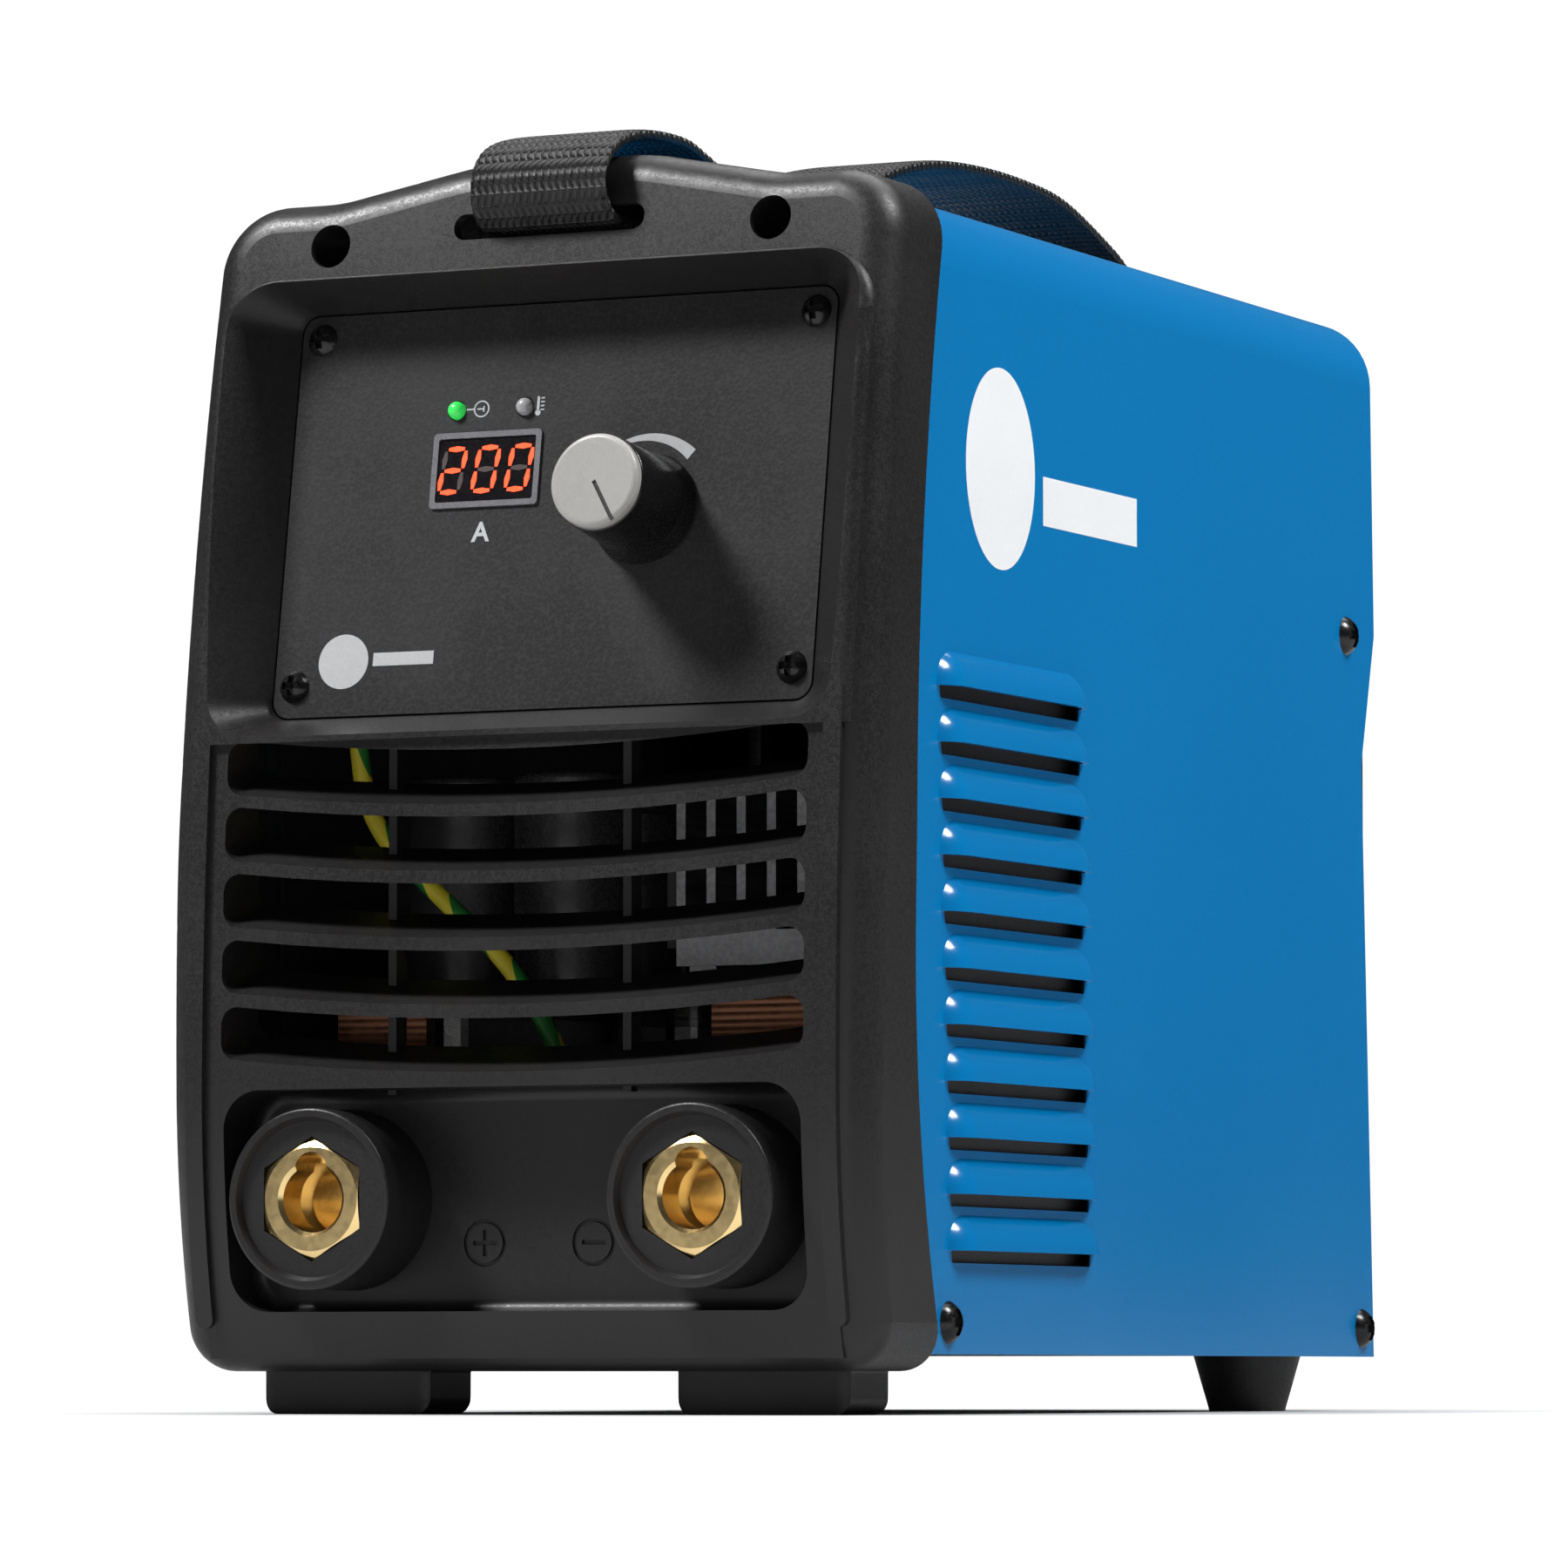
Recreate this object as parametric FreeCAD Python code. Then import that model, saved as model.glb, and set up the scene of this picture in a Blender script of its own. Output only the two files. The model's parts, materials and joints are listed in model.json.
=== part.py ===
"""Inverter stick and TIG welding machine: a portable power source in a sheet-steel case.

Row frame in millimetres: +X to the right seen from the front, +Y towards the back, +Z up.
The origin is on the floor, under the middle of the bounding box. The front faces -Y.
"""
import FreeCAD
import Part

import math
import os

V = FreeCAD.Vector

# ---- driving dimensions -------------------------------------------------------------------
# front bezel: bowed lines seen from the side. Each has a nose (smallest Y) and two radii.
NOSE_Z = 65.0                      # height where the front face stands furthest forward
FACE_NOSE, FACE_R_UP, FACE_R_DOWN = -140.4, 877.0, 230.0
SHELL_NOSE, SHELL_R_UP, SHELL_R_DOWN = -140.0, 884.0, 230.0
EDGE_NOSE, EDGE_NOSE_Z, EDGE_R_UP, EDGE_R_DOWN = -118.5, 95.0, 580.0, 260.0
RIDGE_RISE = 1.2                   # ridge round the panel, in front of the face
BEZEL_BOTTOM, BEZEL_EAR_TOP, BEZEL_HUMP_TOP = 8.5, 243.4, 249.4
BEZEL_HALF_TOP, BEZEL_HALF_MID, BEZEL_HALF_BOTTOM = 76.2, 78.0, 76.8
BEZEL_WALL = 3.0
RIDGE_OUT, RIDGE_IN, RIDGE_TOP, RIDGE_END = 71.4, 67.6, 227.5, 17.0

# control panel: a plane that leans back
PANEL_Z, PANEL_Y, PANEL_TILT = 180.0, -121.3, 9.04
PANEL_HALF, PANEL_LOW, PANEL_HIGH, PANEL_THICK = 59.6, -41.8, 41.4, 2.0
PANEL_SCREW_X, PANEL_SCREW_LOW, PANEL_SCREW_HIGH = 55.1, -35.4, 36.5
DISPLAY = (-27.6, -3.4, 0.0, 15.5)   # left, right, low, high on the panel
LED_X, LED_V, LED_R = (-23.2, -7.9), 20.25, 2.4
KNOB_X, KNOB_R, KNOB_LENGTH, KNOB_CAP_R = 20.5, 10.3, 20.7, 9.5
SHAFT_R, BUSH_R = 3.0, 4.4

# air slots of the bezel
SLOT_COUNT, SLOT_TOP_MID, SLOT_PITCH, SLOT_HEIGHT = 5, 124.85, 13.2, 10.5
SLOT_HALF, SLOT_SAG, SLOT_RISE_DEG, SLOT_CORNER = 64.0, 3.6, 20.0, 3.4

# output sockets, 13 mm twist-lock pattern
SOCKET_X, SOCKET_Z, SOCKET_FACE = 41.7, 42.3, -145.0
POCKET_HALF, POCKET_LOW, POCKET_HIGH, POCKET_FLOOR = 63.4, 20.2, 64.0, -126.5
COLLAR_R, COLLAR_DISH_R, COLLAR_DISH, COLLAR_NECK_R = 17.9, 16.2, 1.6, 12.8
HEX_POCKET_AF, HEX_AF, BORE_R, BORE_DEPTH = 21.4, 20.9, 6.6, 26.0
KEY_R, KEY_UP, KEY_DEPTH = 3.6, 5.7, 12.9
STUD_R = 8.6

# strap slot and hook holes in the upper edge of both bezels
EAR_SLOT_HALF, EAR_SLOT_Z, EAR_SLOT_H = 21.2, 236.0, 5.3
EAR_HOLE_X, EAR_HOLE_Z, EAR_HOLE_R = 49.0, 233.9, 4.45
STRAP_HALF, STRAP_THICK = 15.0, 2.2

# steel cover
COVER_HALF, COVER_TOP, COVER_BOTTOM, COVER_BEND, SHEET = 74.0, 241.3, 11.8, 15.0, 1.2
LOUVRE_COUNT, LOUVRE_PITCH, LOUVRE_TOP_Z = 11, 11.08, 142.9
LOUVRE_TOP_Y, LOUVRE_LENGTH, LOUVRE_SLANT = -101.6, 73.5, 0.52
LOUVRE_OUT, LOUVRE_H = 3.6, 8.6

# base, rear bezel and feet
TRAY_HALF, TRAY_Z, TRAY_FRONT, TRAY_BACK = 72.7, 12.0, -118.0, 128.5
REAR_FACE, REAR_WALL, REAR_RIM = 137.0, 3.0, 119.2
FRONT_FOOT = (27.4, 64.6, -121.0, -103.0)
REAR_FOOT_X, REAR_FOOT_Y, REAR_FOOT_TOP_R, REAR_FOOT_LOW_R = 59.0, 94.0, 11.6, 8.2
FAN_Z, FAN_SIZE, FAN_DEPTH, FAN_BACK = 152.0, 92.0, 25.0, 134.0


# knob, switch, gland, fan and strap
KNOB_V, POINTER_TURN, BOARD_Y = -2.0, 150.0, 14.0
SWITCH, GLAND, GLAND_END = (-42.0, 216.0), (44.0, 38.0), 145.6
FAN_BLADES, FAN_HOLE = 7, 41.25
FAN_SCREWS = [(sx * FAN_HOLE, FAN_Z + sz * FAN_HOLE) for sx in (-1, 1) for sz in (-1, 1)]
STRAP_PATH = [(-101.0, 236.7), (-112.0, 237.0), (-119.5, 237.1), (-124.3, 237.9), (-127.2, 241.6), (-126.6, 246.6),
              (-121.0, 251.4), (-109.5, 254.6), (-93.0, 255.3), (-82.0, 253.2), (-60.0, 247.2), (-40.0, 246.6), (-18.0, 252.5),
              (6.0, 261.5), (28.5, 266.6), (53.0, 268.6), (78.0, 268.6), (97.8, 266.9), (119.6, 261.1),
              (133.0, 256.0), (141.0, 248.5), (142.6, 240.5), (138.5, 235.0), (128.0, 234.0), (116.0, 234.0)]

# inner parts
BOARD_Z, STUD_END, FIN_COUNT, BUSBAR_RIVET_Y = 84.0, -106.0, 9, -82.0
CAPACITORS = [(-20.0, -72.0), (-48.0, -66.0), (-20.0, -44.0), (-48.0, -38.0)]
COVER_SCREWS = [(-95.0, 18.0), (124.0, 18.0), (116.5, 169.9)]


# ---- helpers ------------------------------------------------------------------------------
def box(x0, x1, y0, y1, z0, z1):
    """Solid box between two corners."""
    return Part.makeBox(x1 - x0, y1 - y0, z1 - z0, V(x0, y0, z0))


def rod(x, y0, y1, z, r):
    """Cylinder along Y."""
    return Part.makeCylinder(r, y1 - y0, V(x, y0, z), V(0, 1, 0))


def post(x, y, z0, z1, r):
    """Cylinder along Z."""
    return Part.makeCylinder(r, z1 - z0, V(x, y, z0), V(0, 0, 1))


def cone_y(x, y0, y1, z, r0, r1):
    """Cone along Y with radius r0 at y0 and r1 at y1."""
    return Part.makeCone(r0, r1, y1 - y0, V(x, y0, z), V(0, 1, 0))


def fuse(shapes):
    """One shape from several."""
    shapes = list(shapes)
    return shapes[0].multiFuse(shapes[1:]).removeSplitter() if len(shapes) > 1 else shapes[0]


def rounded_wire(corners, to3d):
    """Closed wire through (a, b, radius) corners, each rounded by its radius; to3d places a point."""
    n = len(corners)
    starts, arcs = [], []
    for i, (a, b, r) in enumerate(corners):
        here = V(a, b, 0)
        before = V(corners[i - 1][0], corners[i - 1][1], 0) - here
        after = V(corners[(i + 1) % n][0], corners[(i + 1) % n][1], 0) - here
        before.normalize()
        after.normalize()
        half = before.getAngle(after) / 2
        if r <= 0:
            starts.append((here, here))
            arcs.append(None)
            continue
        reach = r / math.tan(half)
        bisector = (before + after).normalize()
        middle = here + bisector * (r / math.sin(half) - r)
        starts.append((here + before * reach, here + after * reach))
        arcs.append(middle)
    edges = []
    for i in range(n):
        first, last = starts[i]
        if arcs[i] is not None:
            edges.append(Part.Arc(to3d(first), to3d(arcs[i]), to3d(last)).toShape())
        nxt = starts[(i + 1) % n][0]
        if (nxt - last).Length > 1e-6:
            edges.append(Part.LineSegment(to3d(last), to3d(nxt)).toShape())
    return Part.Wire(edges)


def plate_xz(corners, y0, y1):
    """Prism along Y whose outline is given as (x, z, radius) corners."""
    wire = rounded_wire(corners, lambda p: V(p.x, y0, p.y))
    return Part.Face(wire).extrude(V(0, y1 - y0, 0))


def plate_xy(corners, z0, z1):
    """Prism along Z whose outline is given as (x, y, radius) corners."""
    wire = rounded_wire(corners, lambda p: V(p.x, p.y, z0))
    return Part.Face(wire).extrude(V(0, 0, z1 - z0))


def plate_yz(corners, x0, x1):
    """Prism along X whose outline is given as (y, z, radius) corners."""
    wire = rounded_wire(corners, lambda p: V(x0, p.x, p.y))
    return Part.Face(wire).extrude(V(x1 - x0, 0, 0))


def rect(x0, x1, z0, z1, r):
    """Corners of a rounded rectangle for the plate functions."""
    return [(x0, z0, r), (x1, z0, r), (x1, z1, r), (x0, z1, r)]


def mirrored(points):
    """An outline from its right half, listed from the bottom up, and the left half."""
    return points + [(-x, z, r) for x, z, r in reversed(points)]


def both_sides(shape):
    """A shape and its copy mirrored across the YZ plane."""
    return [shape, shape.mirror(V(0, 0, 0), V(1, 0, 0))]


def hexagon(x, y0, y1, z, across_flats, turn=90.0):
    """Hexagonal prism along Y; turn is the angle of its first corner."""
    r = across_flats / math.sqrt(3)
    angles = [math.radians(turn + 60 * k) for k in range(6)]
    corners = [(x + r * math.cos(a), z + r * math.sin(a), 0) for a in angles]
    return plate_xz(corners, y0, y1)


def tube(points, radius):
    """Round tube along straight runs joined by the largest tangent arcs that the runs allow."""
    edges, place = [], points[0]
    for before, here, after in zip(points, points[1:], points[2:]):
        a, b = before - here, after - here
        reach = 0.45 * min(a.Length, b.Length)
        a.normalize()
        b.normalize()
        half = a.getAngle(b) / 2
        r = reach * math.tan(half)
        middle = here + (a + b).normalize() * (r / math.sin(half) - r)
        start, end = here + a * reach, here + b * reach
        edges.append(Part.LineSegment(place, start).toShape())
        edges.append(Part.Arc(start, middle, end).toShape())
        place = end
        print("bend radius", round(r, 1), "of a tube", 2 * radius, "thick")
    edges.append(Part.LineSegment(place, points[-1]).toShape())
    path = Part.Wire(edges)
    along = points[1] - points[0]
    ring = Part.Wire([Part.Circle(points[0], along, radius).toShape()])
    made = path.makePipeShell([ring], True, False)
    expected = math.pi * radius ** 2 * path.Length
    print("tube volume is", round(made.Volume / expected, 4), "of its section times its length")
    return made


def bowed(z, nose, nose_z, r_up, r_down):
    """Y of a line that bows forward: its nose is at nose_z."""
    r = r_up if z >= nose_z else r_down
    return nose + r - math.sqrt(r * r - (z - nose_z) ** 2)


def face_y(z):
    """Front face of the bezel."""
    return bowed(z, FACE_NOSE, NOSE_Z, FACE_R_UP, FACE_R_DOWN)


def shell_y(z):
    """Outer part of the bezel, a little behind the face."""
    return bowed(z, SHELL_NOSE, NOSE_Z, SHELL_R_UP, SHELL_R_DOWN)


def edge_y(z):
    """Back edge of the bezel, where the cover begins."""
    return bowed(z, EDGE_NOSE, EDGE_NOSE_Z, EDGE_R_UP, EDGE_R_DOWN)


def bowed_edges(x, line, shift, z0, z_mid, z1):
    """The two arcs of a bowed line from z0 to z1, at one X."""
    def point(z):
        return V(x, line(z) + shift, z)
    low = Part.Arc(point(z0), point((z0 + z_mid) / 2), point(z_mid)).toShape()
    high = Part.Arc(point(z_mid), point((z_mid + z1) / 2), point(z1)).toShape()
    return [low, high]


def bowed_block(half, line, shift, z0, z1, back):
    """Block across X whose front is the bowed line and whose back is the plane Y = back."""
    x = -half
    front = bowed_edges(x, line, shift, z0, NOSE_Z, z1)
    top = Part.LineSegment(V(x, line(z1) + shift, z1), V(x, back, z1)).toShape()
    rear = Part.LineSegment(V(x, back, z1), V(x, back, z0)).toShape()
    bottom = Part.LineSegment(V(x, back, z0), V(x, line(z0) + shift, z0)).toShape()
    face = Part.Face(Part.Wire(front + [top, rear, bottom]))
    return face.extrude(V(2 * half, 0, 0))


def on_panel(shape):
    """Moves a shape from the panel's own frame (front face at Y = 0, V up) onto the leaning panel."""
    placed = shape.copy()
    turn = FreeCAD.Rotation(V(1, 0, 0), -PANEL_TILT)
    placed.Placement = FreeCAD.Placement(V(0, PANEL_Y, PANEL_Z), turn).multiply(shape.Placement)
    return placed


def pan_screw(head_r, head_h, shank_r, length):
    """Cross-recess pan-head screw along +Y: its head stands at Y < 0 and its shank runs to Y = length."""
    r_dome = (head_r ** 2 + head_h ** 2) / (2 * head_h)
    ball = Part.makeSphere(r_dome, V(0, r_dome - head_h, 0))
    head = ball.common(rod(0, -head_h, 0, 0, head_r))
    blade = 0.22 * head_r
    arm = 0.62 * head_r
    cross = fuse([box(-arm, arm, -head_h - 1, -0.35 * head_h, -blade, blade),
                  box(-blade, blade, -head_h - 1, -0.35 * head_h, -arm, arm)])
    return fuse([head.cut(cross), rod(0, 0, length, 0, shank_r)])


def put(shape, x, y, z, axis=None, angle=0.0):
    """Copy of a shape, turned about an axis through its own origin and then moved."""
    placed = shape.copy()
    turn = FreeCAD.Rotation(axis or V(0, 0, 1), angle)
    placed.Placement = FreeCAD.Placement(V(x, y, z), turn).multiply(shape.Placement)
    return placed


# ---- front bezel --------------------------------------------------------------------------
def shell_outline(half_low, half_mid, half_top, bottom, top, hump, corner_low, corner_top):
    """Outline of a bezel seen from the front, with a raised hump for the strap."""
    right = [(half_low, bottom, corner_low), (half_mid, 112.0, 700.0), (half_top, top, corner_top),
             (50.0, top, 40.0), (19.0, hump, 40.0)]
    return mirrored(right)


def panel_region(half, low, high, back):
    """Block in front of a plane parallel to the panel, back being the distance behind its face."""
    return on_panel(box(-half, half, -40.0, back, low, high))


def panel_recess():
    """Tapered opening from the bezel's front down to the panel's face."""
    floor = rounded_wire(rect(-60.0, 60.0, PANEL_LOW - 0.4, PANEL_HIGH + 0.4, 4.0), lambda p: V(p.x, 0, p.y))
    front = rounded_wire(rect(-73.0, 73.0, PANEL_LOW - 9.6, PANEL_HIGH + 5.6, 11.0), lambda p: V(p.x, -16.0, p.y))
    return on_panel(Part.makeLoft([front, floor], True, True))


def air_slot(index):
    """Curved slot of the bezel, rising towards the inside."""
    mid = SLOT_TOP_MID - SLOT_PITCH * index
    start_y = -148.0
    slope = math.tan(math.radians(SLOT_RISE_DEG))
    mid -= (face_y(mid) - start_y) * slope
    low, high = mid - SLOT_HEIGHT / 2, mid + SLOT_HEIGHT / 2

    def at(x, z):
        return V(x, start_y, z)
    h, s = SLOT_HALF, SLOT_SAG
    edges = [Part.Arc(at(-h, low + s), at(0, low), at(h, low + s)).toShape(),
             Part.LineSegment(at(h, low + s), at(h, high + s)).toShape(),
             Part.Arc(at(h, high + s), at(0, high), at(-h, high + s)).toShape(),
             Part.LineSegment(at(-h, high + s), at(-h, low + s)).toShape()]
    depth = 45.0
    solid = Part.Face(Part.Wire(edges)).extrude(V(0, depth, depth * slope))
    ends = [e for e in solid.Edges if abs(e.Length - depth / math.cos(math.radians(SLOT_RISE_DEG))) < 0.01]
    return solid.makeFillet(SLOT_CORNER, ends)


def rim_edges(solid, line, shift, above):
    """Edges round the bowed front face of a solid, leaving out those across it or below a height."""
    chosen = []
    for edge in solid.Edges:
        points = edge.discretize(5)
        on_front = max(abs(p.y - line(p.z) - shift) for p in points) < 0.02
        across = edge.BoundBox.ZLength < 0.01 and abs(edge.CenterOfMass.z - NOSE_Z) < 0.5
        if on_front and not across and max(p.z for p in points) > above:
            chosen.append(edge)
    return chosen


def front_foot():
    """Foot moulded under the bezel, widening where it joins it."""
    x0, x1, y0, y1 = FRONT_FOOT
    outline = [(x0, 0, 3.2), (x1, 0, 3.2), (x1, 8.6, 1.4), (x1 + 2.4, 11.0, 0), (x0 - 2.4, 11.0, 0),
               (x0, 8.6, 1.4)]
    plan = plate_xy([(x0 - 2.4, y0, 5.0), (x1 + 2.4, y0, 5.0), (x1 + 2.4, y1, 3.0), (x0 - 2.4, y1, 3.0)],
                    -1.0, 12.0)
    return plate_xz(outline, y0, y1).common(plan)


def front_bezel():
    """Moulded front frame: panel recess, air slots, socket pocket, strap slot and feet."""
    outline = shell_outline(BEZEL_HALF_BOTTOM, BEZEL_HALF_MID, BEZEL_HALF_TOP,
                            BEZEL_BOTTOM, BEZEL_EAR_TOP, BEZEL_HUMP_TOP, 9.5, 14.5)
    prism = plate_xz(outline, -160.0, -80.0)
    shell = bowed_block(90.0, shell_y, 0.0, 0.0, 262.0, -85.0).common(prism)
    shell = shell.makeFillet(7.5, rim_edges(shell, shell_y, 0.0, 0.0))

    core_prism = plate_xz([(-69.5, 11.0, 0), (69.5, 11.0, 0), (69.5, 225.6, 14.0), (-69.5, 225.6, 14.0)],
                          -160.0, -100.0)
    core = bowed_block(90.0, face_y, 0.0, 0.0, 240.0, -110.0).common(core_prism)
    frame_outline = [(73.0, 133.0, 0), (73.0, RIDGE_TOP, 13.0), (-73.0, RIDGE_TOP, 13.0), (-73.0, 133.0, 0)]
    frame = bowed_block(90.0, face_y, -RIDGE_RISE, 0.0, 240.0, -110.0)
    frame = frame.common(plate_xz(frame_outline, -160.0, -100.0))
    frame = frame.makeFillet(2.6, rim_edges(frame, face_y, -RIDGE_RISE, 133.5))
    rib = plate_xz([(RIDGE_OUT, RIDGE_END, 1.8), (RIDGE_OUT, 140.0, 0), (RIDGE_IN, 140.0, 0),
                    (RIDGE_IN, RIDGE_END, 1.8)], -160.0, -120.0)
    rib = rib.common(bowed_block(90.0, face_y, -RIDGE_RISE, 0.0, 240.0, -115.0))
    ridge = fuse([frame] + both_sides(rib))
    body = fuse([shell, core, ridge])

    # hollow it from the back, leaving the blocks that carry the panel, slots and pocket
    inside = plate_xz([(74.4, 11.0, 8.0), (74.4, 241.6, 15.0), (47.0, 241.6, 0), (18.0, 246.9, 0),
                       (-18.0, 246.9, 0), (-47.0, 241.6, 0), (-74.4, 241.6, 15.0), (-74.4, 11.0, 8.0)],
                      -160.0, -60.0)
    hollow = bowed_block(90.0, shell_y, BEZEL_WALL, 0.0, 262.0, -60.0).common(inside)
    blocks = [panel_region(67.0, PANEL_LOW - 3.2, PANEL_HIGH + 3.2, 5.2),
              box(-66.2, 66.2, -160.0, POCKET_FLOOR + 3.0, POCKET_LOW - 2.6, POCKET_HIGH + 2.6),
              box(-67.0, 67.0, -160.0, face_y(NOSE_Z) + 15.0, 62.0, 138.0)]
    bosses = [rod(s * EAR_HOLE_X, -122.0, -103.0, EAR_HOLE_Z, 6.0) for s in (-1, 1)]
    hollow = hollow.cut(fuse(blocks)).cut(fuse(bosses))
    back_cut = back_of_edge()
    body = body.cut(hollow).cut(back_cut)

    # openings
    cuts = [panel_recess(), on_panel(plate_xz(rect(-60.0, 60.0, PANEL_LOW - 0.4, PANEL_HIGH + 0.4, 4.0), -0.5, 2.3)),
            on_panel(box(-50.0, 50.0, 0.0, 20.0, -32.0, 33.0))]
    pocket = plate_xz(rect(-POCKET_HALF, POCKET_HALF, POCKET_LOW, POCKET_HIGH, 8.0), -160.0, POCKET_FLOOR)
    floor_rim = [e for e in pocket.Edges if abs(e.CenterOfMass.y - POCKET_FLOOR) < 1e-3]
    cuts.append(pocket.makeFillet(2.4, floor_rim))
    cuts += [rod(s * SOCKET_X, -130.0, -110.0, SOCKET_Z, COLLAR_NECK_R + 0.2) for s in (-1, 1)]
    cuts += [air_slot(i) for i in range(SLOT_COUNT)]
    z0, z1 = EAR_SLOT_Z - EAR_SLOT_H / 2, EAR_SLOT_Z + EAR_SLOT_H / 2
    cuts.append(plate_xz(rect(-EAR_SLOT_HALF, EAR_SLOT_HALF, z0, z1, 2.5), -135.0, -112.0))
    for side in (-1, 1):
        cuts.append(rod(side * EAR_HOLE_X, -135.0, -106.0, EAR_HOLE_Z, EAR_HOLE_R))
        cuts.append(rod(side * EAR_HOLE_X, -107.0, -100.0, EAR_HOLE_Z, 2.3))
        for v in (PANEL_SCREW_LOW, PANEL_SCREW_HIGH):
            cuts.append(on_panel(rod(side * PANEL_SCREW_X, 1.0, 8.0, v, 1.55)))
    for cut in cuts:
        body = body.cut(cut)

    # ribs that tie the slats together, and the feet
    ribs = [box(x - 0.9, x + 0.9, -129.6, -125.2, 63.0, 137.0) for x in (-31.2, 20.8)]
    feet = both_sides(front_foot())
    body = fuse([body] + ribs + feet)
    return body.cut(polarity_marks())


def back_of_edge():
    """Everything behind the bowed back edge of the bezel."""
    x = -90.0
    edges = [Part.Arc(V(x, edge_y(0), 0), V(x, edge_y(50), 50), V(x, edge_y(EDGE_NOSE_Z), EDGE_NOSE_Z)).toShape(),
             Part.Arc(V(x, edge_y(EDGE_NOSE_Z), EDGE_NOSE_Z), V(x, edge_y(180), 180), V(x, edge_y(262), 262)).toShape(),
             Part.LineSegment(V(x, edge_y(262), 262), V(x, -50, 262)).toShape(),
             Part.LineSegment(V(x, -50, 262), V(x, -50, 0)).toShape(),
             Part.LineSegment(V(x, -50, 0), V(x, edge_y(0), 0)).toShape()]
    return Part.Face(Part.Wire(edges)).extrude(V(180, 0, 0))


def polarity_marks():
    """Plus and minus signs, each in a ring, sunk into the floor of the socket pocket."""
    y0, y1, z, ring_r, arm, half = POCKET_FLOOR - 0.5, POCKET_FLOOR + 0.6, 33.7, 4.7, 2.6, 0.45
    marks = []
    for x in (-12.0, 12.0):
        marks.append(rod(x, y0, y1, z, ring_r).cut(rod(x, y0, y1, z, ring_r - 0.8)))
        marks.append(box(x - arm, x + arm, y0, y1, z - half, z + half))
    marks.append(box(-12.0 - half, -12.0 + half, y0, y1, z - arm, z + arm))
    return fuse(marks)


# ---- control panel ------------------------------------------------------------------------
def control_panel():
    """Panel plate with its openings for the display, lights, knob bush and screws."""
    x0, x1, v0, v1 = DISPLAY
    plate = plate_xz(rect(-PANEL_HALF, PANEL_HALF, PANEL_LOW, PANEL_HIGH, 3.6), 0.0, PANEL_THICK)
    holes = [plate_xz(rect(x0 + 1.2, x1 - 1.2, v0 + 1.2, v1 - 1.2, 0.8), -1.0, 3.0),
             rod(KNOB_X, -1.0, 3.0, KNOB_V, BUSH_R + 0.3)]
    holes += [rod(x, -1.0, 3.0, LED_V, LED_R - 0.35) for x in LED_X]
    for side in (-1, 1):
        holes += [rod(side * PANEL_SCREW_X, -1.0, 3.0, v, 1.9) for v in (PANEL_SCREW_LOW, PANEL_SCREW_HIGH)]
    return on_panel(plate.cut(fuse(holes)))


def panel_screws():
    """Four pan-head screws at the corners of the panel."""
    screw = pan_screw(3.3, 2.1, 1.5, 6.5)
    places = [(side * PANEL_SCREW_X, v) for side in (-1, 1) for v in (PANEL_SCREW_LOW, PANEL_SCREW_HIGH)]
    return Part.makeCompound([on_panel(put(screw, x, 0, v)) for x, v in places])


def display_frame():
    """Thin border round the display window."""
    x0, x1, v0, v1 = DISPLAY
    ring = plate_xz(rect(x0, x1, v0, v1, 0.9), -0.5, 0.0)
    return on_panel(ring.cut(plate_xz(rect(x0 + 1.2, x1 - 1.2, v0 + 1.2, v1 - 1.2, 0.5), -1.0, 1.0)))


def display_window():
    """Dark window of the display, set into the panel."""
    x0, x1, v0, v1 = DISPLAY
    return on_panel(plate_xz(rect(x0 + 1.3, x1 - 1.3, v0 + 1.3, v1 - 1.3, 0.6), -0.2, 2.6))


def display_module():
    """Digit block soldered to the control board."""
    x0, x1, v0, v1 = DISPLAY
    return on_panel(box(x0 + 0.4, x1 - 0.4, 2.7, BOARD_Y, v0 - 0.6, v1 + 0.6))


def panel_light(x):
    """Domed light that stands a little out of the panel."""
    r = LED_R - 0.6
    dome = Part.makeSphere(r, V(x, 0, LED_V)).common(box(x - 5, x + 5, -5, 0, LED_V - 5, LED_V + 5))
    body = fuse([dome, rod(x, 0, 6.0, LED_V, r)])
    flange = rod(x, 5.0, 6.0, LED_V, r + 0.5)
    return on_panel(fuse([body, flange]))


def control_board():
    """Circuit board behind the panel, with its stand-off pads."""
    board = box(-46.0, 44.0, BOARD_Y, BOARD_Y + 1.6, -28.0, 30.0)
    holes = [rod(x, BOARD_Y - 1, BOARD_Y + 3, v, 1.6) for x in (-41.0, 40.0) for v in (-24.0, 26.0)]
    chips = [box(-20.0, -8.0, BOARD_Y + 1.6, BOARD_Y + 3.6, -18.0, -8.0),
             box(2.0, 9.0, BOARD_Y + 1.6, BOARD_Y + 3.0, 14.0, 24.0)]
    return on_panel(fuse([board.cut(fuse(holes))] + chips))


def board_spacers():
    """Four round spacers between the panel and its board."""
    made = []
    for x in (-41.0, 40.0):
        for v in (-24.0, 26.0):
            made.append(on_panel(rod(x, PANEL_THICK, BOARD_Y, v, 3.0)))
    return Part.makeCompound(made)


def potentiometer():
    """Potentiometer body with the bush that passes through the panel."""
    body = fuse([rod(KNOB_X, 2.3, BOARD_Y - 0.3, KNOB_V, 8.4), rod(KNOB_X, -3.4, 3.0, KNOB_V, BUSH_R)])
    return on_panel(body.cut(rod(KNOB_X, -5.0, BOARD_Y - 1.8, KNOB_V, SHAFT_R + 0.05)))


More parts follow.
